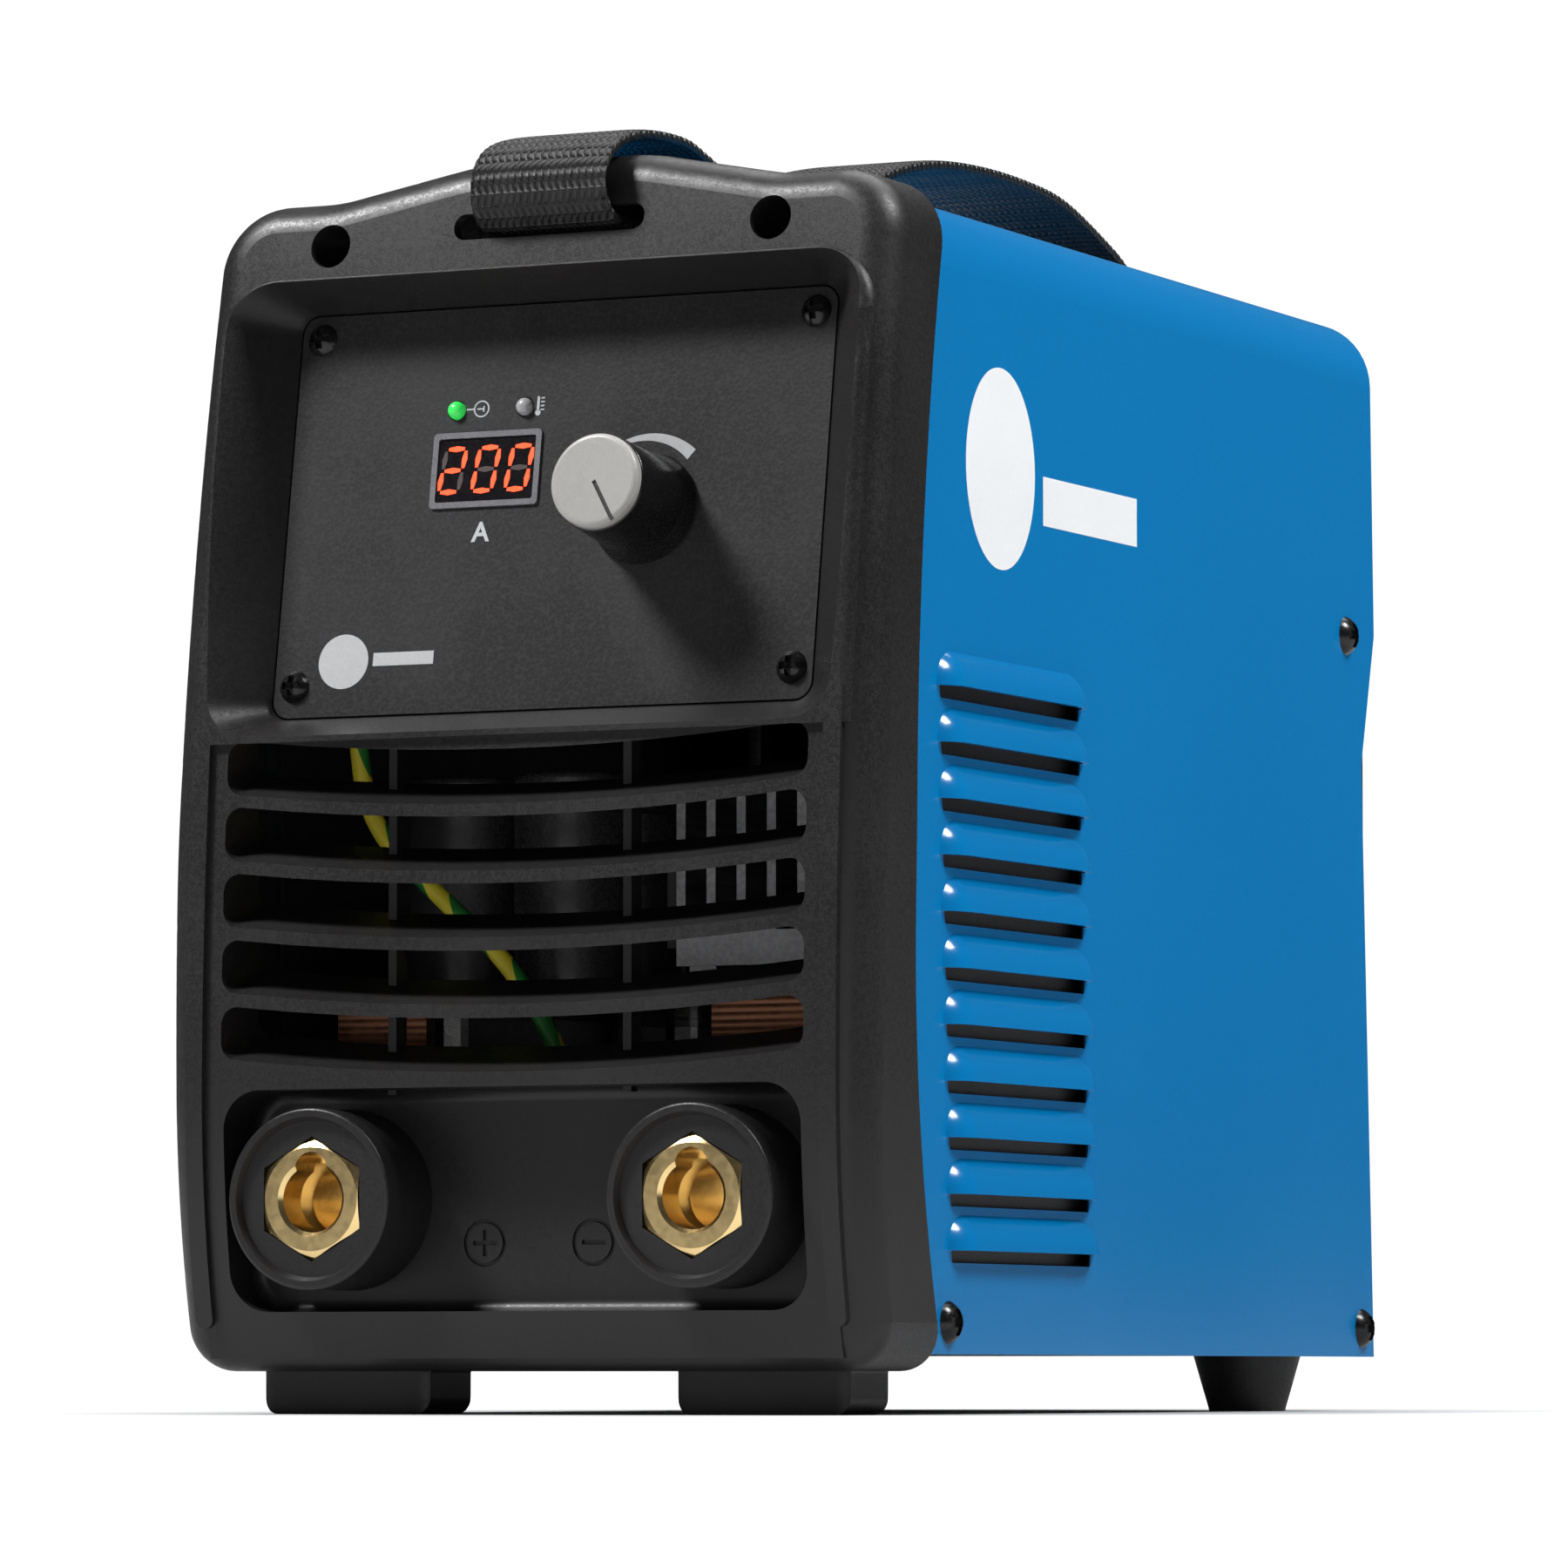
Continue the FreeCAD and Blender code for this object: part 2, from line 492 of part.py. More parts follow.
def potentiometer_nut():
    """Nut on the bush, hidden inside the knob."""
    return on_panel(hexagon(KNOB_X, -2.4, -0.1, KNOB_V, 11.0).cut(rod(KNOB_X, -5, 5, KNOB_V, BUSH_R)))


def knob_body():
    """Knob body: a tapered barrel with a base flare and a hollow foot."""
    base, neck = -0.9, -4.2
    barrel = cone_y(KNOB_X, -KNOB_LENGTH, neck, KNOB_V, KNOB_R - 0.5, KNOB_R)
    flare = cone_y(KNOB_X, neck, base, KNOB_V, KNOB_R, KNOB_R + 1.2)
    top_rim = [e for e in barrel.Edges if abs(e.CenterOfMass.y + KNOB_LENGTH) < 1e-3]
    body = fuse([barrel.makeFillet(0.4, top_rim), flare])
    body = body.cut(rod(KNOB_X, -4.8, 0.0, KNOB_V, 7.6))
    return on_panel(body.cut(rod(KNOB_X, -16.0, 0.0, KNOB_V, SHAFT_R)))


def knob_cap():
    """Pale cap of the knob, with a pointer groove that runs out to its rim."""
    cap = rod(KNOB_X, -KNOB_LENGTH - 2.1, -KNOB_LENGTH, KNOB_V, KNOB_CAP_R)
    rim = [e for e in cap.Edges if abs(e.CenterOfMass.y + KNOB_LENGTH + 2.1) < 1e-3]
    cap = cap.makeFillet(1.1, rim)
    groove = box(-0.42, 0.42, -KNOB_LENGTH - 3.0, -KNOB_LENGTH - 1.75, 0.2, KNOB_CAP_R + 1.0)
    return on_panel(cap.cut(put(groove, KNOB_X, 0, KNOB_V, V(0, 1, 0), POINTER_TURN)))


def potentiometer_shaft():
    """Shaft that the knob is pressed on."""
    return on_panel(rod(KNOB_X, -16.0, BOARD_Y - 2.2, KNOB_V, SHAFT_R))


# ---- output sockets -----------------------------------------------------------------------
def socket_collar(x):
    """Moulded collar that surrounds one brass insert."""
    collar = rod(x, SOCKET_FACE, POCKET_FLOOR, SOCKET_Z, COLLAR_R)
    front = [e for e in collar.Edges if abs(e.CenterOfMass.y - SOCKET_FACE) < 1e-3]
    collar = collar.makeFillet(0.7, front)
    collar = fuse([collar, rod(x, POCKET_FLOOR, POCKET_FLOOR + 7.0, SOCKET_Z, COLLAR_NECK_R)])
    dish = cone_y(x, SOCKET_FACE - 0.1, SOCKET_FACE + COLLAR_DISH, SOCKET_Z, COLLAR_DISH_R, COLLAR_DISH_R - 0.8)
    hole = hexagon(x, SOCKET_FACE, SOCKET_FACE + 12.0, SOCKET_Z, HEX_POCKET_AF)
    through = rod(x, SOCKET_FACE, POCKET_FLOOR + 9.0, SOCKET_Z, STUD_R + 0.3)
    return collar.cut(dish).cut(hole).cut(through)


def socket_insert(x):
    """Brass insert: hexagonal head, twist-lock bore with its key slot, and a threaded stud."""
    face = SOCKET_FACE + COLLAR_DISH - 0.3
    head = hexagon(x, face, SOCKET_FACE + 11.9, SOCKET_Z, HEX_AF)
    corner_r = HEX_AF / 2 - 0.2
    shaped = head.common(cone_y(x, face, face + 12.0, SOCKET_Z, corner_r, corner_r + 20.0))
    stud = rod(x, SOCKET_FACE + 11.0, STUD_END, SOCKET_Z, STUD_R)
    body = fuse([shaped, stud])
    bore = rod(x, face - 1.0, face + BORE_DEPTH, SOCKET_Z, BORE_R)
    key = rod(x, face - 1.0, face + KEY_DEPTH, SOCKET_Z + KEY_UP, KEY_R)
    lead_in = cone_y(x, face - 0.01, face + 0.8, SOCKET_Z, BORE_R + 0.8, BORE_R)
    turn = rod(x, face + KEY_DEPTH - 5.0, face + KEY_DEPTH, SOCKET_Z, BORE_R + 1.4)
    return body.cut(bore).cut(key).cut(lead_in).cut(turn)


def socket_nuts():
    """Nuts that hold both sockets and their busbars."""
    made = []
    for side in (-1, 1):
        nut = hexagon(side * SOCKET_X, POCKET_FLOOR + 7.1, POCKET_FLOOR + 12.0, SOCKET_Z, 27.0)
        made.append(nut.cut(rod(side * SOCKET_X, -130, -90, SOCKET_Z, STUD_R)))
    return Part.makeCompound(made)


def busbar(side):
    """Copper strip from a socket stud up to the main board, riveted to the board."""
    x = side * SOCKET_X
    y0 = POCKET_FLOOR + 12.1
    upright = box(x - 10.0, x + 10.0, y0, y0 + 2.0, SOCKET_Z - 12.0, BOARD_Z - 0.2)
    tab = box(x - 10.0, x + 10.0, y0, BUSBAR_RIVET_Y + 5.0, BOARD_Z - 2.2, BOARD_Z - 0.2)
    rivet = post(x, BUSBAR_RIVET_Y, BOARD_Z - 1.0, BOARD_Z + 2.8, 2.4)
    head = post(x, BUSBAR_RIVET_Y, BOARD_Z + 1.8, BOARD_Z + 3.0, 4.0)
    return fuse([upright, tab, rivet, head]).cut(rod(x, y0 - 1, y0 + 3, SOCKET_Z, STUD_R))


# ---- steel cover and base -----------------------------------------------------------------
def capsule(side, index, r, cut_z):
    """Half capsule above a louvre's lower lip: a bar along Y with round ends."""
    x = side * (COVER_HALF + LOUVRE_OUT - LOUVRE_H)
    z = LOUVRE_TOP_Z - LOUVRE_PITCH * index
    y0 = LOUVRE_TOP_Y + LOUVRE_SLANT * index + LOUVRE_H - 0.6
    y1 = y0 + LOUVRE_LENGTH - 2 * LOUVRE_H + 1.2
    bar = fuse([rod(x, y0, y1, z, r), Part.makeSphere(r, V(x, y0, z)), Part.makeSphere(r, V(x, y1, z))])
    inner = COVER_HALF - SHEET
    x0, x1 = (inner, 90.0) if side > 0 else (-90.0, -inner)
    return bar.common(box(x0, x1, y0 - 20, y1 + 20, z + cut_z, z + 20))


def cover_rear_cut():
    """Everything behind the cover's cranked rear edge."""
    profile = [(131.3, 0.0, 0), (125.1, 142.0, 6.0), (132.9, 171.0, 6.0), (130.5, 260.0, 0), (200, 260, 0),
               (200, 0.0, 0)]
    return plate_yz(profile, -90.0, 90.0)


def top_cover():
    """U-shaped painted cover with eleven louvres on each side."""
    h, t = COVER_HALF, SHEET
    outer = plate_xz([(h, COVER_BOTTOM, 0), (h, COVER_TOP, COVER_BEND), (-h, COVER_TOP, COVER_BEND),
                      (-h, COVER_BOTTOM, 0)], -150.0, 160.0)
    inner = plate_xz([(h - t, 0, 0), (h - t, COVER_TOP - t, COVER_BEND - t),
                      (-h + t, COVER_TOP - t, COVER_BEND - t), (-h + t, 0, 0)], -160.0, 170.0)
    sheet = outer.cut(inner).cut(cover_rear_cut())
    sheet = sheet.common(bowed_block(90.0, shell_y, 6.0, 0.0, 262.0, 200.0)).cut(corner_reliefs())
    for side in (-1, 1):
        for y, z in COVER_SCREWS:
            sheet = sheet.cut(Part.makeCylinder(2.3, 10.0, V(side * (h - 5), y, z), V(side, 0, 0)))
    hoods, holes = [], []
    for side in (-1, 1):
        for k in range(LOUVRE_COUNT):
            hoods.append(capsule(side, k, LOUVRE_H, 0.0))
            holes.append(capsule(side, k, LOUVRE_H - SHEET, -2.4))
    return sheet.fuse(Part.makeCompound(hoods)).cut(Part.makeCompound(holes))


def cover_screws():
    """Pan-head screws of the cover, three on each side."""
    screw = pan_screw(4.25, 2.7, 2.0, 7.0)
    made = []
    for side in (-1, 1):
        for y, z in COVER_SCREWS:
            made.append(put(screw, side * COVER_HALF, y, z, V(0, 0, 1), 90.0 * side))
    return Part.makeCompound(made)


def corner_reliefs():
    """Clearance at the lower front corners, where the bezel's outline is rounded."""
    return fuse([box(-80.0, -68.4, -160.0, -104.7, 0.0, 17.2), box(68.4, 80.0, -160.0, -104.7, 0.0, 17.2)])


def tray_wall(side, y0, y1, top):
    """Upright flange along one side of the tray."""
    x0, x1 = sorted((side * TRAY_HALF, side * (TRAY_HALF - 1.5)))
    return box(x0, x1, y0, y1, TRAY_Z, top)


def base_tray():
    """Folded steel tray that carries the inner parts and takes the cover screws."""
    h, t = TRAY_HALF, 1.5
    parts = [box(-h, h, TRAY_FRONT, TRAY_BACK, TRAY_Z, TRAY_Z + t),
             box(-h, h, TRAY_BACK - t, TRAY_BACK, TRAY_Z, TRAY_Z + 12.0)]
    for side in (-1, 1):
        parts.append(tray_wall(side, TRAY_FRONT + 12.0, TRAY_BACK, TRAY_Z + 16.0))
        parts.append(tray_wall(side, 106.0, 124.0, 180.0))
    tray = fuse(parts).cut(corner_reliefs())
    for side in (-1, 1):
        for y, z in COVER_SCREWS:
            tray = tray.cut(Part.makeCylinder(2.0, 14.0, V(side * (h - 9), y, z), V(side, 0, 0)))
        tray = tray.cut(post(side * REAR_FOOT_X, REAR_FOOT_Y, TRAY_Z - 1, TRAY_Z + 3, 2.6))
    slots = [box(-30.0, 30.0, y, y + 4.0, TRAY_Z - 1, TRAY_Z + 3) for y in (30.0, 42.0, 54.0, 66.0, 78.0)]
    return tray.cut(fuse(slots))


def rear_feet():
    """Two tapered rubber feet under the back of the tray."""
    made = []
    for side in (-1, 1):
        foot = Part.makeCone(REAR_FOOT_LOW_R, REAR_FOOT_TOP_R, TRAY_Z, V(side * REAR_FOOT_X, REAR_FOOT_Y, 0))
        foot = foot.cut(post(side * REAR_FOOT_X, REAR_FOOT_Y, -1.0, 5.0, 4.6))
        made.append(foot.cut(post(side * REAR_FOOT_X, REAR_FOOT_Y, 0, 20, 2.2)))
    return Part.makeCompound(made)


def foot_screws():
    """Screws that hold the rear feet from below."""
    screw = pan_screw(4.0, 2.4, 2.0, 11.5)
    return Part.makeCompound([put(screw, side * REAR_FOOT_X, REAR_FOOT_Y, 5.0, V(1, 0, 0), 90.0)
                              for side in (-1, 1)])


def foot_nuts():
    """Nuts of the rear foot screws, on the tray."""
    made = []
    for side in (-1, 1):
        ring = Part.makeCylinder(4.2, 3.0, V(side * REAR_FOOT_X, REAR_FOOT_Y, TRAY_Z + 1.5))
        made.append(ring.cut(post(side * REAR_FOOT_X, REAR_FOOT_Y, 0, 30, 2.0)))
    return Part.makeCompound(made)


# ---- rear panel ---------------------------------------------------------------------------
def rear_panel():
    """Moulded rear panel inside the cover, with the fan opening, strap slot and switch opening."""
    half = COVER_HALF - SHEET - 0.3
    low = TRAY_Z + 2.0
    plate = plate_xz(mirrored([(half - 2.3, low, 3.0), (half - 2.3, COVER_TOP - SHEET - 2.6, COVER_BEND - 3.0)]),
                     REAR_FACE - REAR_WALL, REAR_FACE)
    back_rim = [e for e in plate.Edges if e.BoundBox.YLength < 1e-3 and abs(e.CenterOfMass.y - REAR_FACE) < 1e-3]
    plate = plate.makeFillet(2.0, back_rim)
    rim = plate_xz(mirrored([(half - 2.3, low, 3.0), (half - 2.3, COVER_TOP - SHEET - 2.6, COVER_BEND - 3.0)]),
                   REAR_RIM, REAR_FACE - REAR_WALL)
    rim = rim.cut(plate_xz(mirrored([(half - 4.9, low + 2.6, 2.0),
                                     (half - 4.9, COVER_TOP - SHEET - 5.2, COVER_BEND - 5.0)]), 100.0, 140.0))
    rim = rim.cut(box(-80.0, 80.0, 100.0, TRAY_BACK + 0.3, 0.0, TRAY_Z + 13.0))
    hump = plate_xz(mirrored([(48.0, COVER_TOP - 16.0, 0), (48.0, COVER_TOP - 3.0, 30.0), (19.0, 249.0, 40.0)]),
                    REAR_FACE - REAR_WALL, REAR_FACE)
    panel = fuse([plate, rim, hump])
    panel = panel.cut(rod(0, 120.0, 145.0, FAN_Z, 43.0))
    for x, z in FAN_SCREWS:
        panel = panel.cut(rod(x, 120.0, 145.0, z, 2.3))
    panel = panel.cut(plate_xz(rect(-EAR_SLOT_HALF, EAR_SLOT_HALF, 231.0, 236.8, 2.7), 110.0, 145.0))
    panel = panel.cut(box(SWITCH[0] - 13.2, SWITCH[0] + 13.2, 120.0, 145.0, SWITCH[1] - 10.2, SWITCH[1] + 10.2))
    panel = panel.cut(rod(GLAND[0], 120.0, 145.0, GLAND[1], 10.2))
    for x in (-64.0, 64.0):
        for z in (30.0, 100.0):
            panel = panel.cut(rod(x, 120.0, 145.0, z, 1.8))
    slots = [plate_xz(rect(-30.0, 30.0, z, z + 4.0, 1.9), 120.0, 145.0) for z in (66.0, 74.0, 82.0, 90.0)]
    return panel.cut(fuse(slots))


def rear_screws():
    """Screws that hold the rear panel to the frame."""
    screw = pan_screw(3.6, 2.2, 1.7, 12.0)
    return Part.makeCompound([put(screw, x, REAR_FACE, z, V(0, 0, 1), 180.0) for x in (-64.0, 64.0)
                              for z in (30.0, 100.0)])


def carry_strap():
    """Webbing strap: out of the front slot, over both humps and into the rear slot."""
    points = [V(0, y, z) for y, z in STRAP_PATH]
    middle = Part.BSplineCurve()
    middle.interpolate(points)
    first, last = middle.FirstParameter, middle.LastParameter
    up, down = [], []
    for k in range(61):
        u = first + (last - first) * k / 60
        along = middle.tangent(u)[0]
        aside = V(0, -along.z, along.y) * (STRAP_THICK / 2)
        up.append(middle.value(u) + aside)
        down.append(middle.value(u) - aside)
    edges = []
    for line in (up, down):
        curve = Part.BSplineCurve()
        curve.interpolate(line)
        edges.append(curve.toShape())
    edges.append(Part.LineSegment(up[0], down[0]).toShape())
    edges.append(Part.LineSegment(up[-1], down[-1]).toShape())
    face = Part.Face(Part.Wire(Part.__sortEdges__(edges)))
    face.translate(V(-STRAP_HALF, 0, 0))
    print("strap length", round(middle.length(), 1))
    return face.extrude(V(2 * STRAP_HALF, 0, 0))


def strap_anchors():
    """Bars that hold the strap's ends inside both bezels."""
    made = []
    for (y, z), inwards in ((STRAP_PATH[0], 3.0), (STRAP_PATH[-1], -3.0)):
        made.append(box(-18.0, 18.0, y + inwards - 3.5, y + inwards + 3.5, z - 4.7, z - 1.3))
    return Part.makeCompound(made)


# ---- fan, switch and gland ----------------------------------------------------------------
def fan_frame():
    """Square fan frame with a round duct, rear spider and bearing stub."""
    h, y0 = FAN_SIZE / 2, FAN_BACK - FAN_DEPTH
    frame = plate_xz(rect(-h, h, FAN_Z - h, FAN_Z + h, 4.0), y0, FAN_BACK)
    frame = frame.cut(rod(0, y0 - 1, FAN_BACK + 1, FAN_Z, 44.0))
    for x, z in FAN_SCREWS:
        frame = frame.cut(rod(x, y0 - 1, FAN_BACK + 1, z, 2.0))
    arms = [box(-1.6, 1.6, FAN_BACK - 2.4, FAN_BACK, 12.0, 45.0)]
    arms = [put(arms[0], 0, 0, FAN_Z, V(0, 1, 0), 45 + 90 * k) for k in range(4)]
    hub = rod(0, FAN_BACK - 2.4, FAN_BACK, FAN_Z, 16.0)
    stub = rod(0, FAN_BACK - 16.0, FAN_BACK - 2.0, FAN_Z, 2.0)
    return fuse([frame, hub, stub] + arms)


def fan_rotor():
    """Seven-bladed rotor with a bearing bore in its hub."""
    y0, y1 = FAN_BACK - FAN_DEPTH + 2.0, FAN_BACK - 3.2
    hub = rod(0, y0, y1, FAN_Z, 16.0)
    front = [e for e in hub.Edges if abs(e.CenterOfMass.y - y0) < 1e-3]
    hub = hub.makeFillet(1.5, front)
    blade = box(15.0, 42.4, -0.8, 0.8, -9.5, 9.5)
    blade.rotate(V(0, 0, 0), V(1, 0, 0), 38.0)
    blade = blade.common(rod(0, -20, 20, 0, 42.6))
    blades = [put(blade, 0, (y0 + y1) / 2, FAN_Z, V(0, 1, 0), 360.0 / FAN_BLADES * k) for k in range(FAN_BLADES)]
    return fuse([hub] + blades).cut(rod(0, FAN_BACK - 16.6, FAN_BACK, FAN_Z, 2.05))


def fan_guard():
    """Wire guard over the fan opening, with its four fixing eyes."""
    y, wire = REAR_FACE + 1.4, 1.1
    rings = [Part.makeTorus(r, wire, V(0, y, FAN_Z), V(0, 1, 0)) for r in (10.0, 19.0, 28.0, 37.0, 45.0)]
    spokes = []
    for k in range(4):
        spoke = Part.makeCylinder(wire, 39.0, V(10.0, 0, 0), V(1, 0, 0))
        spokes.append(put(spoke, 0, y + 1.4, FAN_Z, V(0, 1, 0), 45 + 90 * k))
    eyes = [rod(x, REAR_FACE, REAR_FACE + 2.0, z, 5.4) for x, z in FAN_SCREWS]
    ears = [put(box(44.0, 56.0, 0, 2.0, -1.4, 1.4), 0, REAR_FACE, FAN_Z, V(0, 1, 0), 45 + 90 * k)
            for k in range(4)]
    guard = fuse(rings + spokes + eyes + ears)
    for x, z in FAN_SCREWS:
        guard = guard.cut(rod(x, REAR_FACE - 1, REAR_FACE + 5, z, 2.1))
    return guard


def fan_screws():
    """Long screws through the guard, rear panel and fan."""
    screw = pan_screw(3.8, 2.4, 1.9, 32.0)
    return Part.makeCompound([put(screw, x, REAR_FACE + 2.0, z, V(0, 0, 1), 180.0) for x, z in FAN_SCREWS])


def power_switch():
    """Rocker switch housing clipped into the rear panel."""
    x, z = SWITCH
    flange = plate_xz(rect(x - 15.0, x + 15.0, z - 11.6, z + 11.6, 1.6), REAR_FACE, REAR_FACE + 2.0)
    body = box(x - 13.0, x + 13.0, REAR_FACE - 24.0, REAR_FACE, z - 10.0, z + 10.0)
    hollow = box(x - 11.0, x + 11.0, REAR_FACE - 8.0, REAR_FACE + 3.0, z - 8.6, z + 8.6)
    tabs = [box(x + dx - 2.4, x + dx + 2.4, REAR_FACE - 31.0, REAR_FACE - 24.0, z - 0.4, z + 0.4)
            for dx in (-7.0, 7.0)]
    pins = [Part.makeCylinder(1.2, 1.2, V(x + s * 11.05, REAR_FACE - 1.0, z), V(-s, 0, 0)) for s in (-1, 1)]
    return fuse([flange.fuse(body).cut(hollow)] + tabs + pins)


def switch_rocker():
    """Rocker that tilts on two pins in the housing, shown pressed at its upper half."""
    x, z = SWITCH
    y = REAR_FACE - 1.0
    profile = [(-5.0, -4.5, 1.5), (3.4, -7.6, 1.2), (2.2, 0.0, 14.0), (5.4, 7.6, 1.2), (-5.0, 4.5, 1.5)]
    body = plate_yz(profile, -10.7, 10.7)
    return put(body, x, y, z).cut(Part.makeCylinder(1.25, 40.0, V(x - 20.0, y, z), V(1, 0, 0)))


def cable_gland():
    """Gland body for the supply cable, empty."""
    x, z = GLAND
    parts = [hexagon(x, REAR_FACE, REAR_FACE + 4.0, z, 24.0), rod(x, REAR_FACE - 12.0, REAR_FACE, z, 9.9),
             cone_y(x, REAR_FACE + 4.0, GLAND_END, z, 10.4, 8.2)]
    return fuse(parts).cut(rod(x, REAR_FACE - 20, 150.0, z, 5.2))


def gland_nut():
    """Nut of the gland inside the rear panel."""
    x, z = GLAND
    y1 = REAR_FACE - REAR_WALL
    return hexagon(x, y1 - 4.0, y1, z, 24.0).cut(rod(x, y1 - 5, y1 + 1, z, 9.9))


# ---- power electronics --------------------------------------------------------------------
def main_board():
    """Main circuit board above the lower chamber."""
    board = box(-66.0, 66.0, -88.0, 66.0, BOARD_Z, BOARD_Z + 1.6)
    holes = [post(x, y, BOARD_Z - 1, BOARD_Z + 3, 1.8) for x in (-60.0, 60.0) for y in (-50.0, 58.0)]
    holes += [post(s * SOCKET_X, BUSBAR_RIVET_Y, BOARD_Z - 1, BOARD_Z + 3, 2.5) for s in (-1, 1)]
    return board.cut(fuse(holes))


def board_pillars():
    """Hexagonal pillars that carry the main board over the tray."""
    made = []
    for x in (-60.0, 60.0):
        for y in (-50.0, 58.0):
            pillar = hexagon(0, 0, BOARD_Z - TRAY_Z - 1.5, 0, 6.0)
            made.append(put(pillar, x, y, TRAY_Z + 1.5, V(1, 0, 0), 90.0))
    return Part.makeCompound(made)


def heatsink():
    """Finned aluminium heatsink on the right of the main board."""
    x0, x1, y0, y1 = 6.0, 62.0, -78.0, 56.0
    z0 = BOARD_Z + 6.0
    base = box(x0, x1, y0, y1, z0, z0 + 7.0)
    fins = []
    for k in range(FIN_COUNT):
        x = x0 + k * (x1 - x0 - 2.0) / (FIN_COUNT - 1)
        fins.append(box(x, x + 2.0, y0, y1, z0, z0 + 38.0))
    legs = [box(x, x + 6.0, y, y + 6.0, BOARD_Z + 1.6, z0) for x in (x0 + 2, x1 - 8) for y in (y0 + 2, y1 - 8)]
    return fuse([base] + fins + legs)


def power_transistors():
    """Row of power transistors on the heatsink's inner side."""
    made = []
    for k in range(6):
        y = -64.0 + 20.0 * k
        body = box(1.0, 6.0, y - 8.0, y + 8.0, BOARD_Z + 10.0, BOARD_Z + 31.0)
        legs = [box(3.0, 3.8, y + d - 0.6, y + d + 0.6, BOARD_Z + 1.6, BOARD_Z + 10.0) for d in (-5.0, 0.0, 5.0)]
        made.append(fuse([body] + legs))
    return Part.makeCompound(made)


def bus_capacitors():
    """Large electrolytic capacitors standing on the main board."""
    made = []
    for x, y in CAPACITORS:
        can = post(x, y, BOARD_Z + 1.6, BOARD_Z + 46.0, 12.5)
        rims = [e for e in can.Edges if abs(e.CenterOfMass.z - BOARD_Z - 46.0) < 1e-3]
        can = can.makeFillet(1.4, rims)
        made.append(can.cut(Part.makeTorus(13.6, 1.6, V(x, y, BOARD_Z + 40.0))))
    return Part.makeCompound(made)


def rectifier():
    """Input rectifier block on the main board."""
    body = box(-62.0, -34.0, 34.0, 62.0, BOARD_Z + 3.0, BOARD_Z + 13.0).cut(post(-48.0, 48.0, 0, 200, 2.5))
    legs = [box(x - 0.6, x + 0.6, y - 0.6, y + 0.6, BOARD_Z + 1.6, BOARD_Z + 3.0) for x in (-58, -38)
            for y in (38, 58)]
    return fuse([body] + legs)


def transformer_core():
    """Ferrite core of the power transformer: two outer legs, a centre leg and two yokes."""
    x, y, z0 = -26.0, -8.0, TRAY_Z + 1.6
    block = box(x - 30.0, x + 30.0, y - 13.0, y + 13.0, z0, z0 + 54.0)
    windows = [box(x + s * 15.0 - 7.0, x + s * 15.0 + 7.0, y - 20, y + 20, z0 + 9.0, z0 + 45.0) for s in (-1, 1)]
    return block.cut(fuse(windows))


def transformer_winding():
    """Winding round the centre leg of the transformer."""
    x, y, z0 = -26.0, -8.0, TRAY_Z + 1.6
    outer = plate_xy([(x - 21.0, y - 26.0, 6.0), (x + 21.0, y - 26.0, 6.0), (x + 21.0, y + 26.0, 6.0),
                      (x - 21.0, y + 26.0, 6.0)], z0 + 10.0, z0 + 44.0)
    return outer.cut(box(x - 8.2, x + 8.2, y - 13.4, y + 13.4, z0, z0 + 54.0))


def output_choke():
    """Toroidal choke lying on the tray."""
    return Part.makeTorus(20.0, 9.5, V(40.0, 4.0, TRAY_Z + 11.6))


def insulation_sheets():
    """Two thin sheets that stand on the tray behind the louvres."""
    low, high = TRAY_Z + 1.7, 224.0
    outline = [(-104.0, 26.0, 2.0), (-89.0, 26.0, 2.0), (-89.0, low, 2.0), (113.0, low, 2.0),
               (113.0, high, 8.0), (-104.0, high, 8.0)]
    sheet = plate_yz(outline, TRAY_HALF - 2.5, TRAY_HALF - 1.8)
    return Part.makeCompound(both_sides(sheet))


def earth_wire():
    """Yellow and green earth wire from the front bezel's stud to the tray."""
    return tube([V(-56.0, -100.0, 143.0), V(-53.0, -100.0, 119.0), V(-8.0, -98.0, 78.0), V(-2.0, -97.0, 20.5)], 1.9)


def earth_stud():
    """Stud, nut and lug of the earth wire on the tray."""
    x, y = -2.0, -97.0
    stud = post(x, y, TRAY_Z + 1.5, TRAY_Z + 8.4, 2.4)
    nut = Part.makeCylinder(4.4, 3.2, V(x, y, TRAY_Z + 1.5))
    return fuse([stud, nut])


def wire_clip():
    """Clip that holds the upper end of the earth wire."""
    return box(-60.0, -52.0, -104.0, -96.0, 143.6, 149.0)


